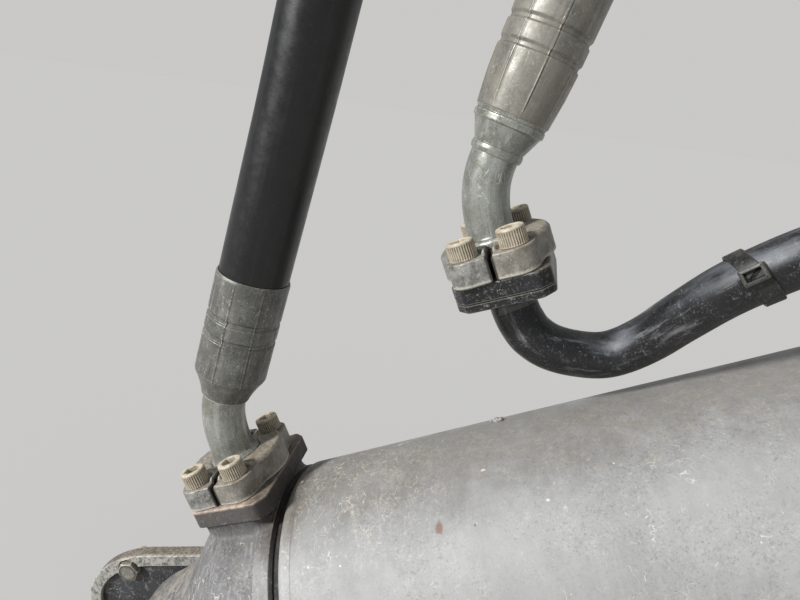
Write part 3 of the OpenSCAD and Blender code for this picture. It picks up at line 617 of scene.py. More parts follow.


# The barrel's own marks: a darker top that is partly grime and partly painted shade, pale scribbles on top,
# painted shade by the pad's end, a lighter lip, a scribed ring and single spots
def barrelMarks(p, tone, rough):
    x, z = p.part(p.place, "X"), p.part(p.place, "Z")
    # Darker along the top: partly grime, partly painted shade
    top = p.ramp(p.shaken(z, 48.0, 22, 5, 0.68, shift=50.0), 108, 132)
    tone = p.layer(tone, top, 0.5, (98, 94, 87))
    near = p.both(p.ramp(x, 330, 175), p.ramp(z, 60, 98))
    for size, width, share in ((5.5, 0.016, 0.55), (10, 0.008, 0.6)):
        lines = p.contour(size, width, None, (1, 0.6, 0.6))
        patches = p.ramp(p.noise(13, 4, 0.72, shift=61.0 + size), 0.40, 0.58)
        tone = p.layer(tone, p.both(lines, patches, near), share, cream)
    # Painted shade: dark brown on the barrel's start beside the casting's pad
    shadeByPad = p.both(p.ramp(x, 176, 158), p.ramp(p.shaken(z, 26, 9, 4, 0.7), 96, 112))
    tone = p.layer(tone, shadeByPad, 0.6, (70, 58, 48))
    tone = p.layer(tone, p.ramp(x, 161.5, 158.5), 0.2, (168, 166, 160))
    ring = p.both(p.ramp(x, 162.6, 163.1), p.ramp(x, 164.0, 163.4))
    tone = p.layer(tone, ring, 0.55, (84, 82, 78))
    for marks, colour, share in (("brown", (116, 82, 58), 0.8), ("cream", cream, 0.75)):
        for at, size in paintMarks[marks]:
            tone = p.layer(tone, p.spot(at, size, 0.9), share, colour)
    return tone, rough


# The casting's: painted shade on the pad's sides and under its overhang, a dusty top on the pad, near black
# painted shade between the pad and the barrel, a lighter rim, rust by the rim and sand in the neck
def castMarks(p, tone, rough):
    x, z = p.part(p.place, "X"), p.part(p.place, "Z")
    onPad = p.both(p.ramp(z, 104.0, 107.0), p.ramp(x, 78, 82), p.ramp(x, 152, 150))
    # Painted shade under the pad's overhang, fading down the casting
    shadeUnderPad = p.both(p.ramp(p.shaken(z, 18, 7, 4, 0.65), 92, 112), p.ramp(x, 152, 150))
    tone = p.layer(tone, shadeUnderPad, 0.5, (70, 66, 62))
    # Painted shade on the pad's sides; the dusty top goes over it below
    tone = p.layer(tone, onPad, 0.42, (62, 56, 52))
    crown = p.both(p.ramp(z, 117.4, 119.2), onPad)
    dusty = p.mix(p.ramp(p.noise(5, 5, 0.7), 0.35, 0.65), tint(120, 102, 88), tint(196, 176, 160))
    tone = p.mix(p.scaled(crown, 0.8), tone, dusty)
    # Painted shade: near black between the pad and the barrel
    grooveShade = p.both(p.ramp(x, 132, 146), p.ramp(p.shaken(z, 24, 6, 4, 0.7), 84, 104))
    tone = p.layer(tone, grooveShade, 0.75, (40, 33, 28))
    for at, size in (((121.3, -45, 108.9), (3, 3, 2)), ((130.9, -45, 103.3), (3, 4, 5))):
        tone = p.layer(tone, p.spot(at, size, 0.9), 0.7, rustBrown)
    band = p.both(p.ramp(x, 133.8, 134.6), p.ramp(x, 147.0, 146.4), p.ramp(z, 96, 78))
    tone = p.layer(tone, band, 0.35, (172, 170, 166))
    sand = p.both(p.ramp(x, 60, 34), p.ramp(p.noise(12, 5, 0.68, shift=40.0), 0.42, 0.6))
    tone = p.layer(tone, sand, 0.6, (158, 147, 128))
    return tone, rough


# The split flanges': a brown half beside a grey one
def clampMarks(p, tone, rough):
    side = p.ramp(p.shaken(p.part(p.flow, "X"), 6.0, 8, 4, 0.65), 1.0, 6.0)
    return p.layer(tone, side, 0.35, (132, 120, 102)), rough


# Painted shade: black in the slit between two halves, over everything else
def slitShade(p, tone):
    away = p.calc("ABSOLUTE", p.part(p.flow, "X"))
    return p.layer(tone, p.ramp(away, 3.2, 1.9), 0.92, (24, 21, 18))


# The flange's: a worn whitish rim, rust brown at the side that faces the casting, and a scuffed face
def flangeMarks(p, tone, rough):
    x, y = p.part(p.place, "X"), p.part(p.place, "Y")
    face = float(-1000 * pinAt @ acrossBarrel) - pinFlangeThick
    onRim = p.both(p.ramp(y, face + 3.4, face + 1.8), p.ramp(y, face - 11, face - 6), p.ramp(x, 80, 60))
    rim = p.both(onRim, p.ramp(p.noise(3.6, 5, 0.78, shift=90.0), 0.40, 0.56, 0.25, 1.0))
    tone = p.layer(tone, rim, 0.8, (182, 180, 172))
    tone = p.layer(tone, p.spot((-28.3, 41, 20.7), (16, 14, 12), 0.8), 0.6, (110, 74, 46))
    scuff = p.ramp(p.noise(5, 5, 0.7, stretch=(1, 1, 0.4), shift=12.0), 0.54, 0.7)
    return p.layer(tone, scuff, 0.4, (150, 148, 142)), rough


# The ferrules': the upper one is paler and warmer
def ferruleMarks(p, tone, rough):
    patches = p.ramp(p.noise(14, 4, 0.6, p.flow, (1, 1, 0.4), shift=4.0), 0.30, 0.60, 0.3, 1.0)
    upper = p.ramp(p.part(p.place, "X"), 230, 300)
    return p.layer(tone, p.both(upper, patches), 0.4, (166, 159, 146)), rough


# The pipe's: a painted reflection, a pale bluish sheen on its upper side towards the lamp, in streaks along it, a
# little rougher there
def pipeSheen(p, tone, rough):
    patches = p.ramp(p.noise(16, 5, 0.66, p.flow, (1, 1, 0.25), shift=8.0), 0.36, 0.62)
    # Painted reflection: pale bluish where the pipe faces up and towards the lamp
    sheen = p.both(p.ramp(p.facing((-0.45, -0.55, 0.70)), 0.66, 0.98), patches)
    return p.layer(tone, sheen, 0.55, (132, 136, 142)), p.calc("ADD", rough, p.scaled(sheen, 0.2))


# Colours are 0 to 255; mottle, grain, lump and sizes are patches in mm, bump and lumpDepth heights in mm
looks = {
    "black_steel": {
        "tones": ((34, 35, 38), (54, 56, 60)), "mottle": 22, "grain": 1.8, "dark": (18, 18, 20),
        "light": (196, 192, 182), "darkSpecks": 0.5, "lightSpecks": 0.5, "edge": (206, 199, 184),
        "worn": 0.95, "rough": (0.38, 0.62), "bump": 0.08, "dust": 0.5, "dustFrom": (0.95, 1.4),
        "scratches": [
            {"size": 16, "width": 0.012, "amount": 0.55, "tone": (190, 188, 180), "stretch": (1, 0.4, 1)},
        ],
    },
    "plain_bolt": {
        "tones": ((124, 121, 113), (156, 153, 145)), "mottle": 9, "grain": 0.8, "dark": (36, 33, 29),
        "light": (222, 216, 202), "darkSpecks": 0.6, "lightSpecks": 0.5, "edge": (216, 208, 190),
        "metal": 0.35, "rough": (0.38, 0.6), "bump": 0.05,
    },
    "cast_paint": {
        "tones": ((88, 87, 88), (112, 111, 112)), "mottle": 26, "grain": 1.5, "dark": (50, 47, 44),
        "light": (190, 188, 184), "darkSpecks": 0.75, "lightSpecks": 0.6, "edge": (176, 171, 160),
        "worn": 0.4, "rough": (0.5, 0.7), "bump": 0.14, "lump": 5.0, "lumpDepth": 0.35, "dust": 0.25,
        "dustFrom": (1.1, 1.5),
        "streak": {"size": 3.0, "stretch": (1, 0.14, 0.5), "amount": 0.35, "tone": (168, 166, 162)},
        "scratches": [
            {"size": 13, "width": 0.010, "amount": 0.7, "tone": (206, 202, 194), "stretch": (1, 1, 0.22),
             "turn": (0, 32, 0)},
            {"size": 22, "width": 0.006, "amount": 0.6, "tone": (214, 208, 196), "stretch": (1, 1, 0.3),
             "turn": (0, -20, 0)},
        ],
    },
    "barrel_paint": {
        "tones": ((142, 142, 141), (157, 157, 156)), "mottle": 70, "grain": 1.5, "dark": (92, 90, 86),
        "light": (190, 189, 185), "darkSpecks": 0.55, "lightSpecks": 0.5, "edge": (180, 178, 172),
        "worn": 0.5, "rough": (0.5, 0.64), "bump": 0.05, "lump": 40.0, "lumpDepth": 0.4, "dust": 0.35,
        "dustFrom": (1.2, 1.6), "dustSize": 7.0,
        "streak": {"size": 5, "stretch": (1, 0.08, 0.08), "amount": 0.3, "tone": (164, 163, 160)},
        "scratches": [
            {"size": 24, "width": 0.0045, "amount": 0.55, "tone": (216, 212, 200), "from": 0.52},
            {"size": 9, "width": 0.007, "amount": 0.45, "tone": (208, 205, 196), "from": 0.54,
             "stretch": (1, 0.5, 0.5)},
        ],
    },
    "bush": {
        "tones": ((150, 112, 62), (178, 138, 82)), "mottle": 12, "grain": 0.8, "dark": (70, 48, 26),
        "light": (214, 184, 128), "darkSpecks": 0.4, "lightSpecks": 0.3, "edge": (210, 176, 118),
        "metal": 0.8, "rough": (0.3, 0.5), "bump": 0.03, "dust": 0.2,
    },
    "seal": {
        "tones": ((15, 15, 15), (24, 24, 24)), "mottle": 14, "grain": 0.9, "dark": (8, 8, 8),
        "light": (60, 57, 52), "darkSpecks": 0.4, "lightSpecks": 0.25, "edge": (46, 44, 40), "worn": 0.3,
        "rough": (0.6, 0.8), "bump": 0.05, "dust": 0.1,
    },
    "zinc_clamp": {
        "tones": ((100, 99, 96), (150, 149, 143)), "mottle": 9, "grain": 1.4, "dark": (44, 40, 36),
        "light": (228, 225, 216), "darkSpecks": 0.7, "lightSpecks": 0.6, "edge": (204, 200, 188),
        "worn": 0.6, "metal": 0.2, "rough": (0.4, 0.62), "bump": 0.16, "lump": 3.5, "lumpDepth": 0.35,
        "dust": 0.4, "dustFrom": (0.95, 1.4),
    },
    "flange_screw": {
        "tones": ((146, 135, 116), (178, 167, 147)), "mottle": 5, "grain": 0.7, "dark": (36, 32, 28),
        "light": (226, 218, 200), "darkSpecks": 0.5, "lightSpecks": 0.5, "edge": (222, 212, 194),
        "worn": 0.35, "metal": 0.1, "rough": (0.42, 0.66), "bump": 0.06, "lump": 2.5, "lumpDepth": 0.1,
        "dust": 0.7, "dustFrom": (0.85, 1.3), "hollowDark": 0.45,
        "dustTones": ((222, 212, 190), (172, 160, 140)),
    },
    "zinc_tube": {
        "tones": ((124, 124, 114), (150, 152, 146)), "mottle": 20, "grain": 1.2, "dark": (50, 49, 42),
        "light": (218, 219, 210), "darkSpecks": 0.55, "lightSpecks": 0.55, "edge": (228, 224, 210),
        "worn": 0.7, "metal": 0.45, "rough": (0.26, 0.46), "bump": 0.05, "onFlow": True,
        "lumpDepth": 0.12, "dust": 0.25, "dustFrom": (1.1, 1.5),
        "streak": {"size": 5.0, "stretch": (1, 1, 0.05), "amount": 0.5, "tone": (190, 194, 188)},
        "scratches": [
            {"size": 8, "width": 0.010, "amount": 0.6, "tone": (224, 224, 214), "stretch": (1, 1, 0.25)},
            {"size": 9, "width": 0.010, "amount": 0.4, "tone": (70, 68, 58), "stretch": (1, 1, 0.3),
             "turn": (7, 3, 0)},
        ],
    },
    "ferrule": {
        "tones": ((88, 88, 84), (112, 112, 107)), "mottle": 18, "grain": 1.3, "dark": (34, 32, 29),
        "light": (198, 194, 182), "darkSpecks": 0.6, "lightSpecks": 0.55, "edge": (216, 209, 190),
        "worn": 0.6, "metal": 0.25, "rough": (0.34, 0.52), "bump": 0.06, "onFlow": True,
        "lumpDepth": 0.15, "dust": 0.25, "dustFrom": (1.1, 1.5),
        "streak": {"size": 4.0, "stretch": (1, 1, 0.10), "amount": 0.4, "tone": (150, 147, 138)},
        "scratches": [
            {"size": 9, "width": 0.010, "amount": 0.5, "tone": (196, 192, 180), "stretch": (1, 1, 0.3)},
            {"size": 7, "width": 0.010, "amount": 0.3, "tone": (50, 48, 44), "stretch": (1, 1, 0.5)},
        ],
    },
    "hose": {
        "tones": ((7, 7, 8), (12, 12, 13)), "mottle": 22, "grain": 0.8, "dark": (6, 6, 6),
        "light": (84, 84, 84), "darkSpecks": 0.4, "lightSpecks": 0.2, "edge": (60, 58, 55), "worn": 0.2,
        "rough": (0.30, 0.42), "bump": 0.04, "onFlow": True, "lump": 7.0, "lumpDepth": 0.08, "dust": 0.12,
        "streak": {"size": 5.0, "stretch": (1, 1, 0.03), "amount": 0.35, "tone": (44, 45, 46)},
    },
    "black_pipe": {
        "tones": ((16, 16, 18), (25, 25, 27)), "mottle": 25, "grain": 1.2, "dark": (6, 6, 7),
        "light": (180, 180, 178), "darkSpecks": 0.3, "lightSpecks": 0.3, "edge": (120, 118, 112),
        "worn": 0.3, "rough": (0.27, 0.44), "bump": 0.04, "onFlow": True, "lumpDepth": 0.12, "dust": 0.1,
        "dustFrom": (1.2, 1.6),
        "streak": {
            "size": 6.0, "stretch": (1, 1, 0.16), "amount": 0.5, "tone": (132, 133, 136), "from": 0.56,
            "to": 0.72,
        },
        "scratches": [
            {"size": 12, "width": 0.007, "amount": 0.3, "tone": (150, 151, 152), "stretch": (0.6, 0.6, 1)},
        ],
    },
    "adapter": {
        "tones": ((17, 18, 19), (30, 31, 33)), "mottle": 12, "grain": 1.4, "dark": (12, 12, 13),
        "light": (206, 203, 194), "darkSpecks": 0.4, "lightSpecks": 0.5, "edge": (150, 146, 136),
        "worn": 0.35, "rough": (0.3, 0.46), "bump": 0.08, "dust": 0.25, "dustFrom": (1.1, 1.5),
        "scratches": [{"size": 14, "width": 0.012, "amount": 0.7, "tone": (176, 172, 162)}],
    },
    "tie": {
        "tones": ((18, 18, 19), (32, 32, 32)), "mottle": 6, "grain": 0.7, "dark": (9, 9, 9),
        "light": (190, 188, 178), "darkSpecks": 0.3, "lightSpecks": 0.3, "edge": (140, 137, 122),
        "worn": 0.12, "rough": (0.35, 0.55), "bump": 0.04, "lumpDepth": 0.1, "dust": 0.2,
        "dustFrom": (1.0, 1.5),
    },
    "chrome_rod": {
        "tones": ((196, 198, 202), (214, 216, 219)), "mottle": 90, "grain": 0.9, "dark": (150, 150, 150),
        "light": (236, 236, 236), "darkSpecks": 0.12, "lightSpecks": 0.12, "edge": (220, 220, 220),
        "metal": 1.0, "rough": (0.06, 0.16), "bump": 0.004, "lumpDepth": 0.0, "dust": 0.05, "hollowDark": 0.1,
        "streak": {"size": 2.0, "stretch": (0.02, 1, 1), "amount": 0.25, "tone": (170, 172, 176)},
    },
}
extras = {"barrel_paint": barrelMarks, "cast_paint": castMarks, "black_steel": flangeMarks,
          "zinc_clamp": clampMarks, "black_pipe": pipeSheen, "ferrule": ferruleMarks}
lastMarks = {"zinc_clamp": slitShade}
finishes = {name: weathered(name, look) for name, look in looks.items()}
slotOf = {part["node"]: part["material_slot"] for part in frame["record"]["subparts"]}
for nodeName, node in frame["nodes"].items():
    node.data.materials.clear()
    node.data.materials.append(finishes[slotOf[nodeName]])
print("finishes ready")

# Fittings: elbows, ferrules and the hose, whose route is in mm with Z along the way out of its ferrule

basePort = np.array([113.7, 5.3, 119.7])
headPort = np.array([351.6, 10.4, 220.9])


# A direction tilted from Z, towards X and a little to Y, in degrees
def leaning(tilt, swing=1.5):
    t, w = math.radians(tilt), math.radians(swing)
    return np.array([math.sin(t) * math.cos(w), math.sin(t) * math.sin(w), math.cos(t)])


elbow = {
    "base": {
        "port": basePort, "rise": 50.0, "way": leaning(36.7), "reach": 22.0, "tube": 32.0, "turn": -2.0,
    },
    "head": {
        "port": headPort, "rise": 50.0, "way": leaning(41.4), "reach": 26.0, "tube": 31.0, "turn": -5.0,
        "flare": 24.0,
    },
}
ferrule = {"radius": 26.4, "bore": 25.05, "insert": 30.0, "base": 97.0, "head": 84.0,
           "grooves": (45.5, 31.0), "jaws": 8}
hose = {"diameter": 50.0,
        "route": [(0, 0, 0), (0, 0, 50), (0, 0, 100), (0, 0, 150), (0, -2, 200), (0, -5, 255),
                  (0, -9, 310)]}


# A place past an elbow's corner: port + rise upward + distance along the way out
def alongElbow(end, distance):
    e = elbow[end]
    return e["port"] + (0, 0, e["rise"]) + distance * e["way"]


# A place whose own frame is turned about Z by some degrees
def standing(at, degrees):
    return lambda points: at + turned(points, degrees)


# A port's own frame, turned with its split flange
def onPort(end):
    return standing(elbow[end]["port"], elbow[end]["turn"])


ferruleAt = {"base": alongElbow("base", elbow["base"]["reach"]),
             "head": alongElbow("head", elbow["head"]["reach"] + elbow["head"]["flare"])}
hoseStart = ferruleAt["base"] + (ferrule["base"] - ferrule["insert"]) * elbow["base"]["way"]
hosePath = aimed(smoothRoute(hose["route"], 4), hoseStart, elbow["base"]["way"])
baseHose = makePiece("baseHose", [tubeShell(hosePath, hose["diameter"] / 2, sides=96)], "barrel", "hose",
                     ["base_hose"])


# A crimped sleeve: its profile turned, with a seam between each two of the press's jaws
def sleeveShell(length, foot, place, jawFrom, sides=360, firstSeam=0.0):
    f = ferrule
    r = f["radius"]
    corners = list(foot)
    for g in f["grooves"]:
        for drop, along in ((0, 2.5), (1.2, 1.5), (1.2, -1.0), (0, -2.5)):
            corners.append((r - drop, length - g - along, 0.4))
    corners += [(r, length - 1.8, 0.6), (r - 0.6, length, 0.3), (f["bore"] + 0.1, length, 0.2),
                (f["bore"], length - f["insert"], 0)]
    profile = spaced(rounded(corners, 3), 3.0, 0.5)
    turn = allRound(sides)
    pitch = 2 * np.pi / f["jaws"]
    off = np.degrees((turn - math.radians(firstSeam)) % pitch - pitch / 2)
    seam = 0.36 * np.exp(-(off / 1.1) ** 2) - 0.16 * np.exp(-((off - 2.4) / 1.2) ** 2)
    seam = seam + 0.10 * np.cos(np.radians(off) * f["jaws"])
    z = profile[:, 1:2]
    outside = (np.arange(len(profile)) <= profile[:, 1].argmax())[:, None]
    crimp = np.clip((z - jawFrom) / 8, 0, 1) * np.clip((length - 3 - z) / 2, 0, 1) * outside
    return latheShell(profile, place, sides, np.minimum(profile[:, 0:1] + crimp * seam, r + 0.3) + 0 * turn)


# A quadratic curve from a to c, pulled towards b
def curve(a, b, c, steps=8):
    t = np.linspace(0, 1, steps + 1)[:, None]
    return np.array(a) * (1 - t) ** 2 + 2 * np.array(b) * t * (1 - t) + np.array(c) * t ** 2


roundFoot = [(*p, 0) for p in curve((18, 0), (19, 6), (26.4, 20), 12)]
coneFoot = [(23.4, 0, 0), (24.0, 0.8, 0.3), (25.8, 20, 1.5)]
for end, foot, jawFrom, firstSeam in (("base", roundFoot, 14, 14.0), ("head", coneFoot, 0, 30.0)):
    place = aim(ferruleAt[end], elbow[end]["way"])
    sleeve = sleeveShell(ferrule[end], foot, place, jawFrom, sides=440, firstSeam=firstSeam)
    makePiece(end + "Ferrule", [sleeve], "barrel", "ferrule", [end + "_ferrule"])

farFitting = {"length": 95.0, "nut": 32.0, "nutR": 30.0, "nutBore": 20.0}


# The hose's far end: a sleeve whose tail narrows into a hexagon nut
def farFittingShells():
    f = farFitting
    lastTwo = aimed(np.array(hose["route"][-2:], float), hoseStart, elbow["base"]["way"])
    place = aim(hosePath[-1], unit(lastTwo[1] - lastTwo[0]))
    corners = [(25.05, 0.1, 0), (26.4, 0.1, 0.4), (26.4, 8, 0), (26.4, f["length"] * 0.74, 1.5),
               (22.2, f["length"] * 0.78, 2), (f["nutBore"], f["length"] * 0.9, 1),
               (f["nutBore"], f["length"] + 2, 0)]
    profile = spaced(rounded(corners, 3), 3.0, 0.5)
    turn = allRound(288)
    off = np.degrees(turn % (np.pi / 4) - np.pi / 8)
    crimp = np.clip((profile[:, 1:2] - 22) / 5, 0, 1) * np.clip((64 - profile[:, 1:2]) / 4, 0, 1)
    radii = profile[:, 0:1] - crimp * (0.4 - 0.6 * np.exp(-(off / 1.6) ** 2))
    sleeve = latheShell(profile, place, 288, radii)
    turn = allRound(144)
    hexagon = hexRadius(f["nutR"], turn)
    flat = f["nutR"] * math.cos(math.pi / 6)
    z0, z1 = f["length"], f["length"] + f["nut"]
    rows = [(z0 + 6.4, 4.0, 0), (z0, 4.0, 0), (z0, flat * 0.96, 0), (z0 + 0.6, f["nutR"] - 1.6, 1),
            (z0 + 1.4, f["nutR"], 1), (z0 + 16, f["nutR"], 1), (z1 - 1.6, f["nutR"], 1),
            (z1 - 0.8, f["nutR"] - 1.4, 1), (z1, flat * 0.95, 0), (z1, flat * 0.88, 0),
            (z1, f["nutBore"] + 0.8, 0), (z1 - 0.8, f["nutBore"], 0), (z0 + 10, f["nutBore"], 0),
            (z0 + 6.4, f["nutBore"] - 0.5, 0)]
    radii = np.array([np.minimum(hexagon, r) if hexed else r + 0 * turn for _, r, hexed in rows])
    nut = latheShell(heightsOf(rows), place, 144, radii)
    return [sleeve, nut]


hoseEnd = makePiece("hoseEndFitting", farFittingShells(), "barrel", "ferrule", ["base_hose_end"])
print("hose and ferrules ready")


# An elbow: a tube whose radius shrinks from the neck in the split flange, bent once about its corner
def elbowShells(end):
    e = elbow[end]
    r = e["tube"] / 2
    neck = [(0, 0, z) for z in (7, 14, 18.6, 19.4, 20.2, 21.0, 21.8)]
    out = e["rise"] * np.array([0, 0, 1.0]) + (e["reach"] - 2) * e["way"]
    bend = curve((0, 0, 22.5), (0, 0, e["rise"]), out, 26)
    tail = [out + step * e["way"] for step in (1.0, 2.0, 4.0)]
    route = e["port"] + np.vstack([neck, bend, tail])
    radii = np.concatenate([[18.9, 18.9, 18.9, 18.6, 17.9, r + 1.0, r + 0.45], np.full(len(bend) + 3, r)])
    radii[7:10] = r + np.array([0.25, 0.1, 0.03])
    shells = [tubeShell(route, radii, sides=72)]
    if end == "head":
        start = alongElbow("head", e["reach"])
        corners = [(r - 1, -1.5, 0), (r + 1.2, -1.2, 0.4), (r + 1.9, 1.0, 0.6), (r + 1.7, 3.6, 0.5),
                   (r + 1.1, 4.2, 0.3), (22.1, 17.2, 0.5), (23.3, 17.8, 0.4), (23.4, 21.6, 0.5),
                   (22.7, 22.1, 0.3), (23.2, 24.2, 0.2), (20, 24.3, 0)]
        shells.append(latheShell(spaced(rounded(corners, 3), 2.0, 0.5), aim(start, e["way"])))
    return shells


for end in ("base", "head"):
    makePiece(end + "Elbow", elbowShells(end), "barrel", "zinc_tube", [end + "_elbow"])

# Split flanges: two halves and four socket screws on each port

clamp = {"height": 16.5, "collar": 2.5, "earR": 12.0, "midR": 37.0, "halfSlit": 1.25, "boltX": 15.9,
         "boltY": 33.35, "headHole": 27.1, "headDeep": 10.05, "neckHole": 19.6, "scoopR": 11.2,
         "slitCut": 1.8, "edge": 1.1, "screwR": 9.0, "screwHigh": 12.0, "screwTurn": 17.0}


# 0 at low and 1 at high, level at both ends: 3t squared minus 2t cubed
def smoothStep(value, low, high):
    t = np.clip((value - low) / (high - low), 0, 1)
    return t * t * (3 - 2 * t)


# The top of a half: a plate, a raised collar with a scoop round each screw, a cut along the slit
def clampTop(x, y):
    c = clamp
    r = np.hypot(x, y)
    away = np.hypot(x - c["boltX"], np.abs(y) - c["boltY"])
    collar = (1 - smoothStep(r, 34.4, 37.4)) * smoothStep(away, c["scoopR"] - 0.8, c["scoopR"] + 1.3)
    uneven = 0.10 * np.sin(0.9 * x + 2 * np.sin(0.31 * y)) * np.sin(0.7 * y + 1.3 * np.sin(0.4 * x))
    cut = np.clip(c["slitCut"] - (x - c["halfSlit"]), 0, None)
    lip = 0.7 * smoothStep(r, c["neckHole"] + 1.4, c["neckHole"])
    return c["height"] + c["collar"] * collar + uneven - cut - lip


# The half's section in each direction from the slit's middle: in along the foot, up the bores, over the top
def clampShell(end, flip):
    c = clamp
    t = np.linspace(-1, 1, 151)
    turn = math.pi / 2 * (0.62 * t + 0.38 * np.sin(math.pi * t / 2))
    ear = np.radians(np.linspace(8, 100, 24))
    mid = np.radians(np.linspace(-36, 36, 30))
    upper = np.column_stack([c["boltX"] + c["earR"] * np.cos(ear), c["boltY"] + c["earR"] * np.sin(ear)])
    outline = np.vstack([[(c["halfSlit"], -c["boltY"] - 10)], upper[::-1] * (1, -1),
                         np.column_stack([c["midR"] * np.cos(mid), c["midR"] * np.sin(mid)]), upper,
                         [(c["halfSlit"], c["boltY"] + 10)]])
    outline = spaced(outline, 0.5, 0.2)
    angle = np.arctan2(outline[:, 1], outline[:, 0] - c["halfSlit"])
    fine = np.linspace(-math.pi / 2, math.pi / 2, 721)
    reach = np.interp(fine, angle, np.hypot(outline[:, 0] - c["halfSlit"], outline[:, 1]))
    soft = np.convolve(np.pad(reach, 9, mode="edge"), np.full(19, 1 / 19), "valid")
    outer = np.interp(turn, fine, soft)[:, None]
    across = c["halfSlit"] * np.sin(turn)
    inner, head = ((np.sqrt(r * r - across ** 2) - c["halfSlit"] * np.cos(turn))[:, None]
                   for r in (c["neckHole"], c["headHole"]))
    rim = c["edge"]
    share = np.linspace(0, 1, 34)
    top = np.hstack([inner + np.array([0, 0.35, 0.8, 1.4]),
                     inner + 2.2 + share * (outer - inner - 2.2 - rim - 0.8),
                     outer - rim + rim * np.array([0, 0.3, 0.55, 0.76, 0.9, 0.97, 1.0])])
    x, y = c["halfSlit"] + top * np.cos(turn)[:, None], top * np.sin(turn)[:, None]
    over = np.clip(top - (outer - rim), 0, rim)
    z = clampTop(x, y) - (rim - np.sqrt(np.maximum(rim ** 2 - over ** 2, 0)))
    ones = np.ones_like(outer)
    rho = np.hstack([outer - 1.0, head, head, inner, inner, top, outer, outer, outer])
    height = np.hstack([0 * ones, 0 * ones, c["headDeep"] * ones, c["headDeep"] * ones, 14 * ones, z,
                        9 * ones, 4 * ones, 0.9 * ones])
    x, y = c["halfSlit"] + rho * np.cos(turn)[:, None], rho * np.sin(turn)[:, None]
    return gridShell(turned(np.stack([x, y, height], axis=-1), 180 if flip else 0), onPort(end))


for end in ("base", "head"):
    for side, flip in (("rear", False), ("front", True)):
        makePiece(end + "Clamp" + side.title(), [clampShell(end, flip)], "barrel", "zinc_clamp",
                  [f"{end}_clamp_{side}"], smoothAngle=40)
    screws = []
    for i, (sx, sy) in enumerate(((1, 1), (1, -1), (-1, -1), (-1, 1))):
        spot = onPort(end)(np.array([sx * clamp["boltX"], sy * clamp["boltY"], clamp["height"]]))
        place = standing(spot, clamp["screwTurn"] * i)
        screws.append(socketScrew(clamp["screwR"], clamp["screwHigh"], place))
    makePiece(end + "ClampScrews", screws, "barrel", "flange_screw", [end + "_clamp_screws"],
              smoothAngle=50)
print("split flanges ready")


# The outline that both pads share: squarer ahead than at its back
def padOutline(back, ahead, w, c, r=2.4):
    corners = [(-back + c, -w / 2 + c * 0.7, 2), (ahead - c, -w / 2, r), (ahead, -w / 2 + c, r),
               (ahead, w / 2 - c, r), (ahead - c, w / 2, r), (-back + c, w / 2 - c * 0.7, 2),
               (-back, w / 2 - 2 * c, r), (-back, -w / 2 + 2 * c, r)]
    return rounded(corners, 4, True)


adapter = {"back": 30.9, "ahead": 33.0, "width": 90.0, "corner": 8.0, "thick": 17.0, "edge": 1.1}
adapterOutline = padOutline(adapter["back"], adapter["ahead"], adapter["width"], adapter["corner"])
adapterRows = plateRows(-adapter["thick"], 0, adapter["edge"])
grooveRows = [(-12.6, 0), (-12.0, 0), (-11.7, 0.4), (-11.2, 0.4), (-10.9, 0), (-10.3, 0)]
adapterRows = adapterRows[:7] + grooveRows + adapterRows[7:]
makePiece("pipeAdapter", [stackShell(adapterOutline, adapterRows, onPort("head"))], "barrel", "black_pipe",
          ["pipe_adapter"], finish="adapter")

# Transfer pipe: straight under the adapter, round the two bends, then along the barrel

pipe = {"radius": 16.0, "lead": 14.0, "end": (1247.5, -40.0, 150.0), "steps": 8, "routeFrom": (150, 0, 105),
        "route": [(203, 8.5, 75), (207, 8, 63), (216, 9.5, 51), (230, 13, 40.5), (247, 15.5, 33),
                  (262, 14.5, 33), (280, 7.6, 40), (299, -5, 53), (323, -19, 67.5), (346, -29, 76.5),
                  (372, -34, 81.5), (410, -38.5, 83), (455, -41, 79), (510, -42, 69), (570, -41, 57),
                  (630, -40, 48), (680, -40, 45), (720, -40, 45)]}
pipeY, pipeZ = pipe["end"][1:]
pipeTop = headPort - (0, 0, adapter["thick"])
pipeLine = np.vstack([[pipeTop - (0, 0, pipe["lead"])], np.array(pipe["route"]) + pipe["routeFrom"],
                      [pipe["end"]]])
pipePath = np.vstack([[pipeTop - (0, 0, down) for down in (0, 0.5, 1.0, 1.5, 2.0, pipe["lead"] / 2)],
                      smoothRoute(pipeLine, pipe["steps"])])
makePiece("transferPipe", [tubeShell(pipePath, pipe["radius"], sides=64)], "barrel", "black_pipe",
          ["transfer_pipe"])

tie = {"after": 9, "turn": 250.0, "thick": 1.8, "width": 11.0, "head": (14.0, 10.0, 6.0), "lean": 6.2,
       "leanTurn": 290.0, "shift": -0.9}


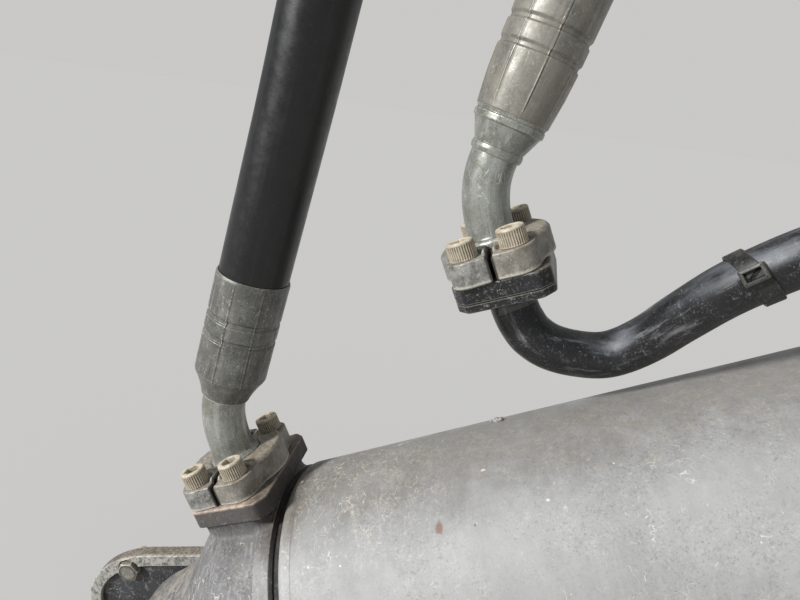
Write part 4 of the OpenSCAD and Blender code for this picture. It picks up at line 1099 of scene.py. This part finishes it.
# The tie: a flat band whose place along the pipe leans with the turn, and a square head with a slot in it
def tieShells():
    near = [pipeLine[tie["after"] + k] for k in (-1, 0, 1, 2)]
    spot, back = between(*near, 2 / 3), between(*near, 1 / 3)
    place = aim(spot, unit(pipeLine[tie["after"] + 1] - back))
    half, t = tie["width"] / 2, tie["thick"]
    section = rounded([(0, -half, 0.3), (t, -half, 0.7), (t, half, 0.7), (0, half, 0.3)], 4, True)
    turn = allRound(120)[:, None]
    lean = tie["lean"] * np.cos(turn - math.radians(tie["leanTurn"])) + tie["shift"]
    r = pipe["radius"] + 0.25 + section[None, :, 0]
    band = np.stack([r * np.cos(turn), r * np.sin(turn), section[None, :, 1] + lean], axis=-1)
    long, wide, high = tie["head"]
    outline = rounded([(-wide / 2, -long / 2, 1.2), (wide / 2, -long / 2, 1.2), (wide / 2, long / 2, 1.2),
                       (-wide / 2, long / 2, 1.2)], 4, True)
    base = pipe["radius"] + 1.4
    rows = [(base - 1, 0.6), (base, 0), (base + high - 1.0, 0), (base + high - 0.3, 0.3),
            (base + high, 0.9), (base + high, 2.0), (base + high - 0.4, 2.3), (base + high - 3.2, 2.4),
            (base + high - 3.2, 3.2)]
    middle = tie["lean"] * math.cos(math.radians(tie["turn"] - tie["leanTurn"])) + tie["shift"]

    def onHead(points):
        side, along, out = points[:, 0], points[:, 1], points[:, 2]
        return place(turned(np.stack([out, side, along + middle], axis=-1), tie["turn"]))

    pawl = [(-1.6, -long / 2 - 2.2, 0.8), (1.6, -long / 2 - 2.2, 0.8), (1.6, -long / 2 + 1, 0.3),
            (-1.6, -long / 2 + 1, 0.3)]
    return [gridShell(band, place, closeU=True), stackShell(outline, rows, onHead),
            stackShell(rounded(pawl, 3, True), plateRows(base - 1, base + 3.2, 0.6, 0.3), onHead)]


makePiece("pipeTie", tieShells(), "barrel", "tie", ["pipe_tie"])


# A block round the pipe: its outline's distance in each direction outside, and the pipe's bore inside
def pipeBlock(outline, length, bore, at, bevel=1.5, sides=240):
    turn = allRound(sides)
    far = rayRadius(outline, turn)
    rows = [(0, bore), (0, far - bevel - 1.5), (0, far - bevel), (bevel * 0.3, far - bevel * 0.3),
            (bevel, far), (bevel + 1.5, far), (length - bevel - 1.5, far), (length - bevel, far),
            (length - bevel * 0.3, far - bevel * 0.3), (length, far - bevel), (length, far - bevel - 1.5),
            (length, bore)]
    radii = np.array([r + 0 * turn for _, r in rows])
    return latheShell(heightsOf(rows), aim(at, (1, 0, 0)), sides, radii, closed=True)


# A rectangle about the middle with rounded corners
def softRectangle(w, h, r):
    return rounded([(-w / 2, -h / 2, r), (w / 2, -h / 2, r), (w / 2, h / 2, r), (-w / 2, h / 2, r)], 4, True)


saddle = {
    "places": (930.0, 1160.0), "length": 32.0, "size": (50.0, 60.0), "corner": 3.0, "bore": 16.1,
    "boltY": 23.0, "boltFoot": 174.9, "bolt": (7.2, 5.0, 3.5, -4),
}
saddleOutline = softRectangle(*saddle["size"], saddle["corner"])
saddleShells = []
for x in saddle["places"]:
    start = (x - saddle["length"] / 2, pipeY, pipeZ)
    saddleShells.append(pipeBlock(saddleOutline, saddle["length"], saddle["bore"], start))
    for side in (-1, 1):
        spot = (x, pipeY + side * saddle["boltY"], saddle["boltFoot"])
        saddleShells.append(hexBolt(*saddle["bolt"], standing(spot, 0)))
makePiece("pipeSaddles", saddleShells, "barrel", "black_steel", ["pipe_saddles"])

endFlange = {"thick": 16.0, "size": (62.0, 72.0), "corner": 5.0, "bore": 15.0, "inset": 9.0,
             "head": (7.0, 8.0)}
flangeUp, flangeAcross = (size / 2 - endFlange["inset"] for size in endFlange["size"])
endOutline = softRectangle(*endFlange["size"], endFlange["corner"])
flangeShells = [pipeBlock(endOutline, endFlange["thick"], endFlange["bore"], pipe["end"])]
for sy in (-1, 1):
    for sz in (-1, 1):
        at = (pipe["end"][0], pipeY + sy * flangeAcross, pipeZ + sz * flangeUp)
        flangeShells.append(socketScrew(*endFlange["head"], aim(at, (-1, 0, 0)), ribs=32, socket=4.0,
                                        deep=4.5, foot=2.0))
makePiece("pipeEndFlange", flangeShells, "barrel", "black_steel", ["pipe_end_flange"])
print("pipe ready")

# Barrel: tube, welded feet and port block

barrel = {"from": 153.5, "to": 1373.5, "radius": 105.0, "bore": 90.0, "lip": 4.0, "foot": (32.0, 60.0),
          "footTop": 125.0, "block": (1263.5, 70.0, 84.0, 175.0)}
alongX = aim((0, 0, 0), (1, 0, 0))


# A weld bead round an outline, where it meets the barrel's surface, with ripples along it
def weldShell(outline, radius=3.4):
    ring = spaced(np.vstack([outline, outline[:1]]), 0.9, 0.3)[:-1]
    run = np.concatenate([[0], np.cumsum(np.linalg.norm(np.diff(ring, axis=0), axis=1))])
    route = np.column_stack([ring, np.sqrt(barrel["radius"] ** 2 - np.clip(ring[:, 1], -100, 100) ** 2)])
    return tubeShell(route, radius + 0.35 * np.sin(run * 2.1) + 0.25 * np.sin(run * 0.37), 12, closed=True)


# A block that stands on the barrel: its lowest row follows the round of the tube, just under its surface
def standingShell(outline, top):
    shell = stackShell(outline, plateRows(60, top, 2.0))
    p = shell["points"]
    low = p[:, 2] < 75
    p[low, 2] = np.sqrt((barrel["radius"] - 4) ** 2 - p[low, 1] ** 2)
    return shell


# The tube with a slightly wavy skin, the feet of the saddles and the pipe's port block, each with its weld
def barrelShells():
    b = barrel
    outside = rounded([(b["bore"] + 0.2, b["from"], 0), (b["radius"], b["from"], b["lip"]),
                       (b["radius"], b["to"], 1.0), (b["bore"], b["to"], 0.5),
                       (b["bore"], b["from"] + 1, 0)], 8)
    profile = spaced(outside, 14.0, 1.5)
    turn = allRound(256)
    x = profile[:, 1:2]
    wave = 0.06 * np.sin(0.021 * x + 3 * turn) + 0.05 * np.sin(0.045 * x - 2 * turn + 1.0)
    radii = profile[:, 0:1] + wave * (profile[:, 0:1] > b["radius"] - 2) - 0.06
    shells = [latheShell(profile, alongX, 256, radii, closed=True)]
    for x in saddle["places"]:
        foot = softRectangle(*b["foot"], 3.0) + (x, pipeY)
        shells += [standingShell(foot, b["footTop"]), weldShell(foot)]
    x0, long, wide, top = b["block"]
    block = softRectangle(long, wide, 4.0) + (x0 + long / 2, pipeY)
    shells += [standingShell(block, top), weldShell(block, 4.5)]
    return shells


# A crumb of dried mud: a low dome whose radius swells unevenly
def crumbShell(at, size, seed):
    t = np.linspace(0.02, np.pi - 0.02, 14)[:, None]
    turn = allRound(24)
    lumpy = 1 + 0.22 * np.sin(2 * turn + seed) * np.sin(t) + 0.16 * np.sin(5 * turn + 2 * seed + 3 * t)
    profile = size * np.hstack([np.sin(t), -0.8 * np.cos(t)])
    return latheShell(profile, aim(at, (0.1, at[1], at[2])), 24, profile[:, 0:1] * lumpy)


crumbs = [
    ((312.8, 29.1, 101.5), 3.0, 1.0), ((316.5, 27.0, 102.8), 1.9, 2.4), ((309.0, 30.5, 101.2), 1.5, 4.1),
]
makePiece("barrelTube", barrelShells() + [crumbShell(*crumb) for crumb in crumbs], "barrel", "barrel_paint",
          ["barrel_tube"])


# A ring: a closed profile turned round the barrel's axis
def ringShell(corners, place=alongX, sides=256, step=6.0, guard=0.6):
    line = rounded(corners, 4, True)
    line = spaced(np.vstack([line, line[:1]]), step, guard)[:-1]
    return latheShell(line, place, sides, closed=True)


# A ring's corners: a rectangle from the bore to the outside, each edge with its own rounding
def ringCorners(inner, outer, start, end, innerEdge, outerEdge):
    return [(inner, start, innerEdge), (outer, start, outerEdge), (outer, end, outerEdge),
            (inner, end, innerEdge)]


dust = {"inner": 96.05, "outer": 99.4, "start": 146.7, "end": 153.3, "innerEdge": 0.4, "outerEdge": 1.2}
makePiece("dustRing", [ringShell(ringCorners(**dust))], "barrel", "seal", ["dust_ring"])
gland = {"from": 1313.5, "face": 1373.5, "to": 1409.5, "radius": 109.0, "bore": 55.08, "spigot": 89.9,
         "groove": 1384.0, "recess": 1.6, "screws": 12, "screwCircle": 88.5, "screwHead": (11.0, 4.0)}
r, groove, floor = gland["radius"], gland["groove"], gland["to"] - gland["recess"]
glandRing = ringShell([(gland["bore"], gland["from"], 1), (gland["spigot"], gland["from"], 1),
                       (gland["spigot"], gland["face"], 0.3), (r, gland["face"], 1.2), (r, groove, 0.4),
                       (r - 1.2, groove + 1.2, 0.4), (r - 1.2, groove + 3.6, 0.4), (r, groove + 4.8, 0.4),
                       (r, gland["to"] - 3, 0.8), (r - 3, gland["to"], 0.8), (74, gland["to"], 0.5),
                       (72.5, floor, 0.5), (68, floor, 0.4), (gland["bore"], floor, 0.5)])
washers, glandScrews = [], []
for i in range(gland["screws"]):
    a = 2 * math.pi * (i + 0.5) / gland["screws"]
    at = np.array([gland["to"], gland["screwCircle"] * math.sin(a), -gland["screwCircle"] * math.cos(a)])
    place = aim(at, (1, 0, 0))
    washers.append(ringShell([(11.1, -1, 0.2), (13.2, -1, 0.2), (13.2, 0.5, 0.4), (11.1, 0.5, 0.3)], place,
                             sides=48, step=2.0, guard=0.3))
    glandScrews.append(socketScrew(*gland["screwHead"], place, ribs=36, socket=8.0, deep=9.0, foot=10.0))
makePiece("glandRing", [glandRing] + washers, "barrel", "barrel_paint", ["gland"])
makePiece("glandScrews", glandScrews, "barrel", "plain_bolt", ["gland_bolts"])
wiper = {"outer": 67.0, "lip": 60.0, "from": 1407.9, "shoulder": 1411.5, "to": 1415.5}
wiperRing = ringShell([(gland["bore"], wiper["from"], 0.3), (wiper["outer"], wiper["from"], 0.3),
                       (wiper["outer"], wiper["shoulder"], 0.8), (wiper["lip"], wiper["to"], 0.8),
                       (gland["bore"], wiper["to"] - 0.9, 0.3)])
makePiece("wiperSeal", [wiperRing], "barrel", "seal", ["wiper"])
print("barrel ready")

# Base casting: the soft copy of the solid, with its machined rim, pad and eye faces crisp on it

base = {"rim": (134.5, 146.5, 104.0), "pad": (30.9, 36.3, 100.0, 8.0, 13.0), "eyeHalf": 40.0,
        "boss": (36.05, 47.0), "proud": 0.15, "eyeZ": -24.0}


# The machined face round an eye's bore, on one side
def eyeRing(x, z, side):
    half, (r0, r1) = base["eyeHalf"], base["boss"]
    outer = half + base["proud"]
    corners = [(r0, half - 3, 0.3), (r1, half - 3, 0.3), (r1 - 0.4, outer, 0.8), (r0 + 0.9, outer, 0.8),
               (r0, outer - 0.9, 0.3)]
    return ringShell(corners, aim((x, 0, z), (0, side, 0)), sides=128, step=2.5)


# The soft copy with its crisp rim, pad and eye faces
def castingShells():
    x0, x1, r = base["rim"]
    rim = ringShell([(91, x0, 0.5), (r + 0.1, x0, 0.9), (r + 0.1, x1, 1.0), (91, x1, 0.5)], step=2.5)
    back, ahead, w, c, thick = base["pad"]
    outline = inset(padOutline(back, ahead, w, c), -0.25)
    pad = stackShell(outline, plateRows(-thick - 0.3, 0.1, 0.9), standing(basePort, 0))
    return [castShell("base_casting"), rim, pad] + [eyeRing(0, base["eyeZ"], side) for side in (-1, 1)]


makePiece("baseCasting", castingShells(), "barrel", "cast_paint", ["base_casting"])


bush = {"inner": 30.06, "outer": 35.95, "start": -40, "end": 40, "innerEdge": 0.8, "outerEdge": 0.3}


# A plain bush: a closed ring turned round the eye's own axis
def bushShell(x, z):
    return ringShell(ringCorners(**bush), aim((x, 0, z), (0, 1, 0)), sides=128)


makePiece("baseBush", [bushShell(0, base["eyeZ"])], "barrel", "bush", ["base_bush"])

# Rod and its eye

rod = {"from": 253.5, "to": 1425.5, "radius": 55.0}
rodCorners = [(50, rod["from"], 0), (rod["radius"], rod["from"], 2), (rod["radius"], rod["to"], 0.3),
              (50, rod["to"], 0)]
rodShell = latheShell(spaced(rounded(rodCorners), 30.0), alongX, sides=192)
makePiece("chromeRod", [rodShell], "rod", "chrome_rod", ["rod"])
collar = ringShell([(30, 1425.6, 0.5), (58.1, 1425.6, 0.5), (60.1, 1427.6, 0.8), (60.1, 1439.5, 1.0),
                    (56, 1443, 1.5), (48, 1452, 3), (30, 1452, 1)])
makePiece("rodEye", [castShell("rod_eye"), collar] + [eyeRing(rodEyeX, 0, side) for side in (-1, 1)],
          "rod", "cast_paint", ["rod_eye"])
makePiece("rodBush", [bushShell(rodEyeX, 0)], "rod", "bush", ["rod_bush"])
print("castings and rod ready")

# Pivot pin with its oblong flange, bolts, retaining disc and bolt, in the flange's own frame

flange = {"radius": 54.5, "flat": 56.5, "end": 75.0, "thick": pinFlangeThick, "rim": 12.0, "deep": 4.0,
          "boltX": -80.0, "boltY": 38.0, "bolt": (10.4, 7.5, 6.0, -24), "pocket": 11.4, "turn": 12.0,
          "middle": -38.0}
flangeSlope = barrelSlope - math.radians(flange["turn"])


# Flange frame in mm to row frame in m: X up the flange, Z towards the camera
def onFlag(points):
    p = np.asarray(points, float)
    c, s = math.cos(flangeSlope), math.sin(flangeSlope)
    up, high = p[..., 0] * c - p[..., 1] * s, p[..., 0] * s + p[..., 1] * c
    return np.stack([up, -p[..., 2], high], axis=-1) / 1000


# A place at a spot of the flange's frame, and a shell that is marked as placed in the row frame
def onFlagAt(spot):
    return lambda points: onFlag(points + spot)


def placed(shell):
    return {**shell, "row": True}


# The flange's distance from its middle: half a circle round the pin, a parallel stretch, half an ellipse
def flagOutline(grow):
    f = flange
    a = np.radians(np.linspace(-90, 90, 60))
    b = np.radians(np.linspace(90, 270, 60))
    return np.vstack([(f["radius"] + grow) * np.column_stack([np.cos(a), np.sin(a)]),
                      np.column_stack([-f["flat"] + (f["end"] + grow) * np.cos(b),
                                       (f["radius"] + grow) * np.sin(b)])])


# The face as a height over rows that follow the outline and the recess, with a pocket round each bolt
def flangeShell():
    f = flange
    turn = allRound(540)
    outer = rayRadius(flagOutline(0) - (f["middle"], 0), turn)
    inner = rayRadius(flagOutline(-f["rim"]) - (f["middle"], 0), turn)
    rows = [(0.0, outer - 2.5), (0.0, outer - 1.0), (0.3, outer - 0.3), (1.0, outer), (6.0, outer),
            (f["thick"] - 2.0, outer)]
    edge = 1.6
    rows += [(f["thick"] - edge * (1 - math.sin(a)), outer - edge * (1 - math.cos(a)))
             for a in np.linspace(0.2, math.pi / 2, 5)]
    rows += [(f["thick"], outer - edge - s * (outer - inner - 3.0)) for s in np.linspace(0.08, 0.97, 16)]
    rows += [(f["thick"] - f["deep"] * smoothStep(s, 0, 1), inner + 1.2 - 2.0 * s)
             for s in np.linspace(0, 1, 6)]
    rows += [(f["thick"] - f["deep"], inner * s) for s in np.linspace(0.97, 0.05, 30)]
    radius = np.array([r + 0 * turn for _, r in rows])
    height = np.array([z + 0 * turn for z, _ in rows])
    x, y = f["middle"] + radius * np.cos(turn), radius * np.sin(turn)
    away = np.hypot(x - f["boltX"], np.abs(y) - f["boltY"])
    floor = f["thick"] - f["deep"]
    sunk = smoothStep(away, f["pocket"] + 0.5, f["pocket"] - 0.5) * (height > floor)
    height = height - (height - floor) * sunk
    height = height - 0.12 * np.sin(0.11 * x + 1) * np.sin(0.13 * y) * (height > 5)
    return placed(gridShell(np.stack([x, y, height], axis=-1), onFlag))


# Corners (radius, place) turned round the pin's own axis
def flagLathe(corners, sides=128):
    return placed(latheShell(spaced(rounded(corners, 4), 4.0, 0.6), onFlag, sides))


pin = {"radius": 30.0, "collar": 36.0, "from": 5.0, "collarTo": 18.4, "to": 104.0, "chamfer": 2.0}
pinShell = flagLathe([(5, pin["from"], 0), (pin["collar"], pin["from"], 0.5),
                      (pin["collar"], pin["collarTo"], 1.0), (pin["radius"] + 1, pin["collarTo"], 0.6),
                      (pin["radius"], pin["collarTo"] - 0.4, 0.2),
                      (pin["radius"], pin["to"] - pin["chamfer"], 0.5),
                      (pin["radius"] - pin["chamfer"], pin["to"], 0.5), (5, pin["to"], 0)])
makePiece("pivotPin", [flangeShell(), pinShell], "pivot", "black_steel", ["pivot_pin"], smoothAngle=40)
flagBolts = []
for side in (-1, 1):
    spot = np.array([flange["boltX"], side * flange["boltY"], flange["thick"] - flange["deep"]])
    flagBolts.append(placed(hexBolt(*flange["bolt"], onFlagAt(spot))))
makePiece("pivotBolts", flagBolts, "pivot", "plain_bolt", ["pivot_bolts"])
cap = {"from": 104.0, "to": 114.0, "radius": 46.0, "bore": 10.5, "recess": 24.0, "washerR": 20.5,
       "bolt": (17.3, 12.5, 10.0, -10)}
capShell = flagLathe([(cap["bore"], cap["from"], 0), (cap["radius"] - 2, cap["from"], 0.6),
                      (cap["radius"], cap["from"] + 1.5, 0.8), (cap["radius"], cap["to"] - 1.8, 0.8),
                      (cap["radius"] - 1.8, cap["to"], 0.8), (cap["recess"], cap["to"], 0.5),
                      (cap["recess"] - 1.5, cap["to"] - 1, 0.5), (cap["bore"], cap["to"] - 1, 0)])
makePiece("pinCap", [capShell], "pivot", "black_steel", ["pin_cap"])
capBolt = placed(hexBolt(*cap["bolt"], onFlagAt((0, 0, cap["to"]))))
capWasher = flagLathe([(11, cap["to"] - 1.2, 0), (cap["washerR"], cap["to"] - 1.2, 0.3),
                       (cap["washerR"], cap["to"] + 0.1, 0.4), (11, cap["to"] + 0.1, 0)], sides=96)
makePiece("pinCapBolt", [capBolt, capWasher], "pivot", "plain_bolt", ["pin_cap_bolt"])
print("pivot ready")

bpy.context.scene.view_settings.view_transform = "Standard"
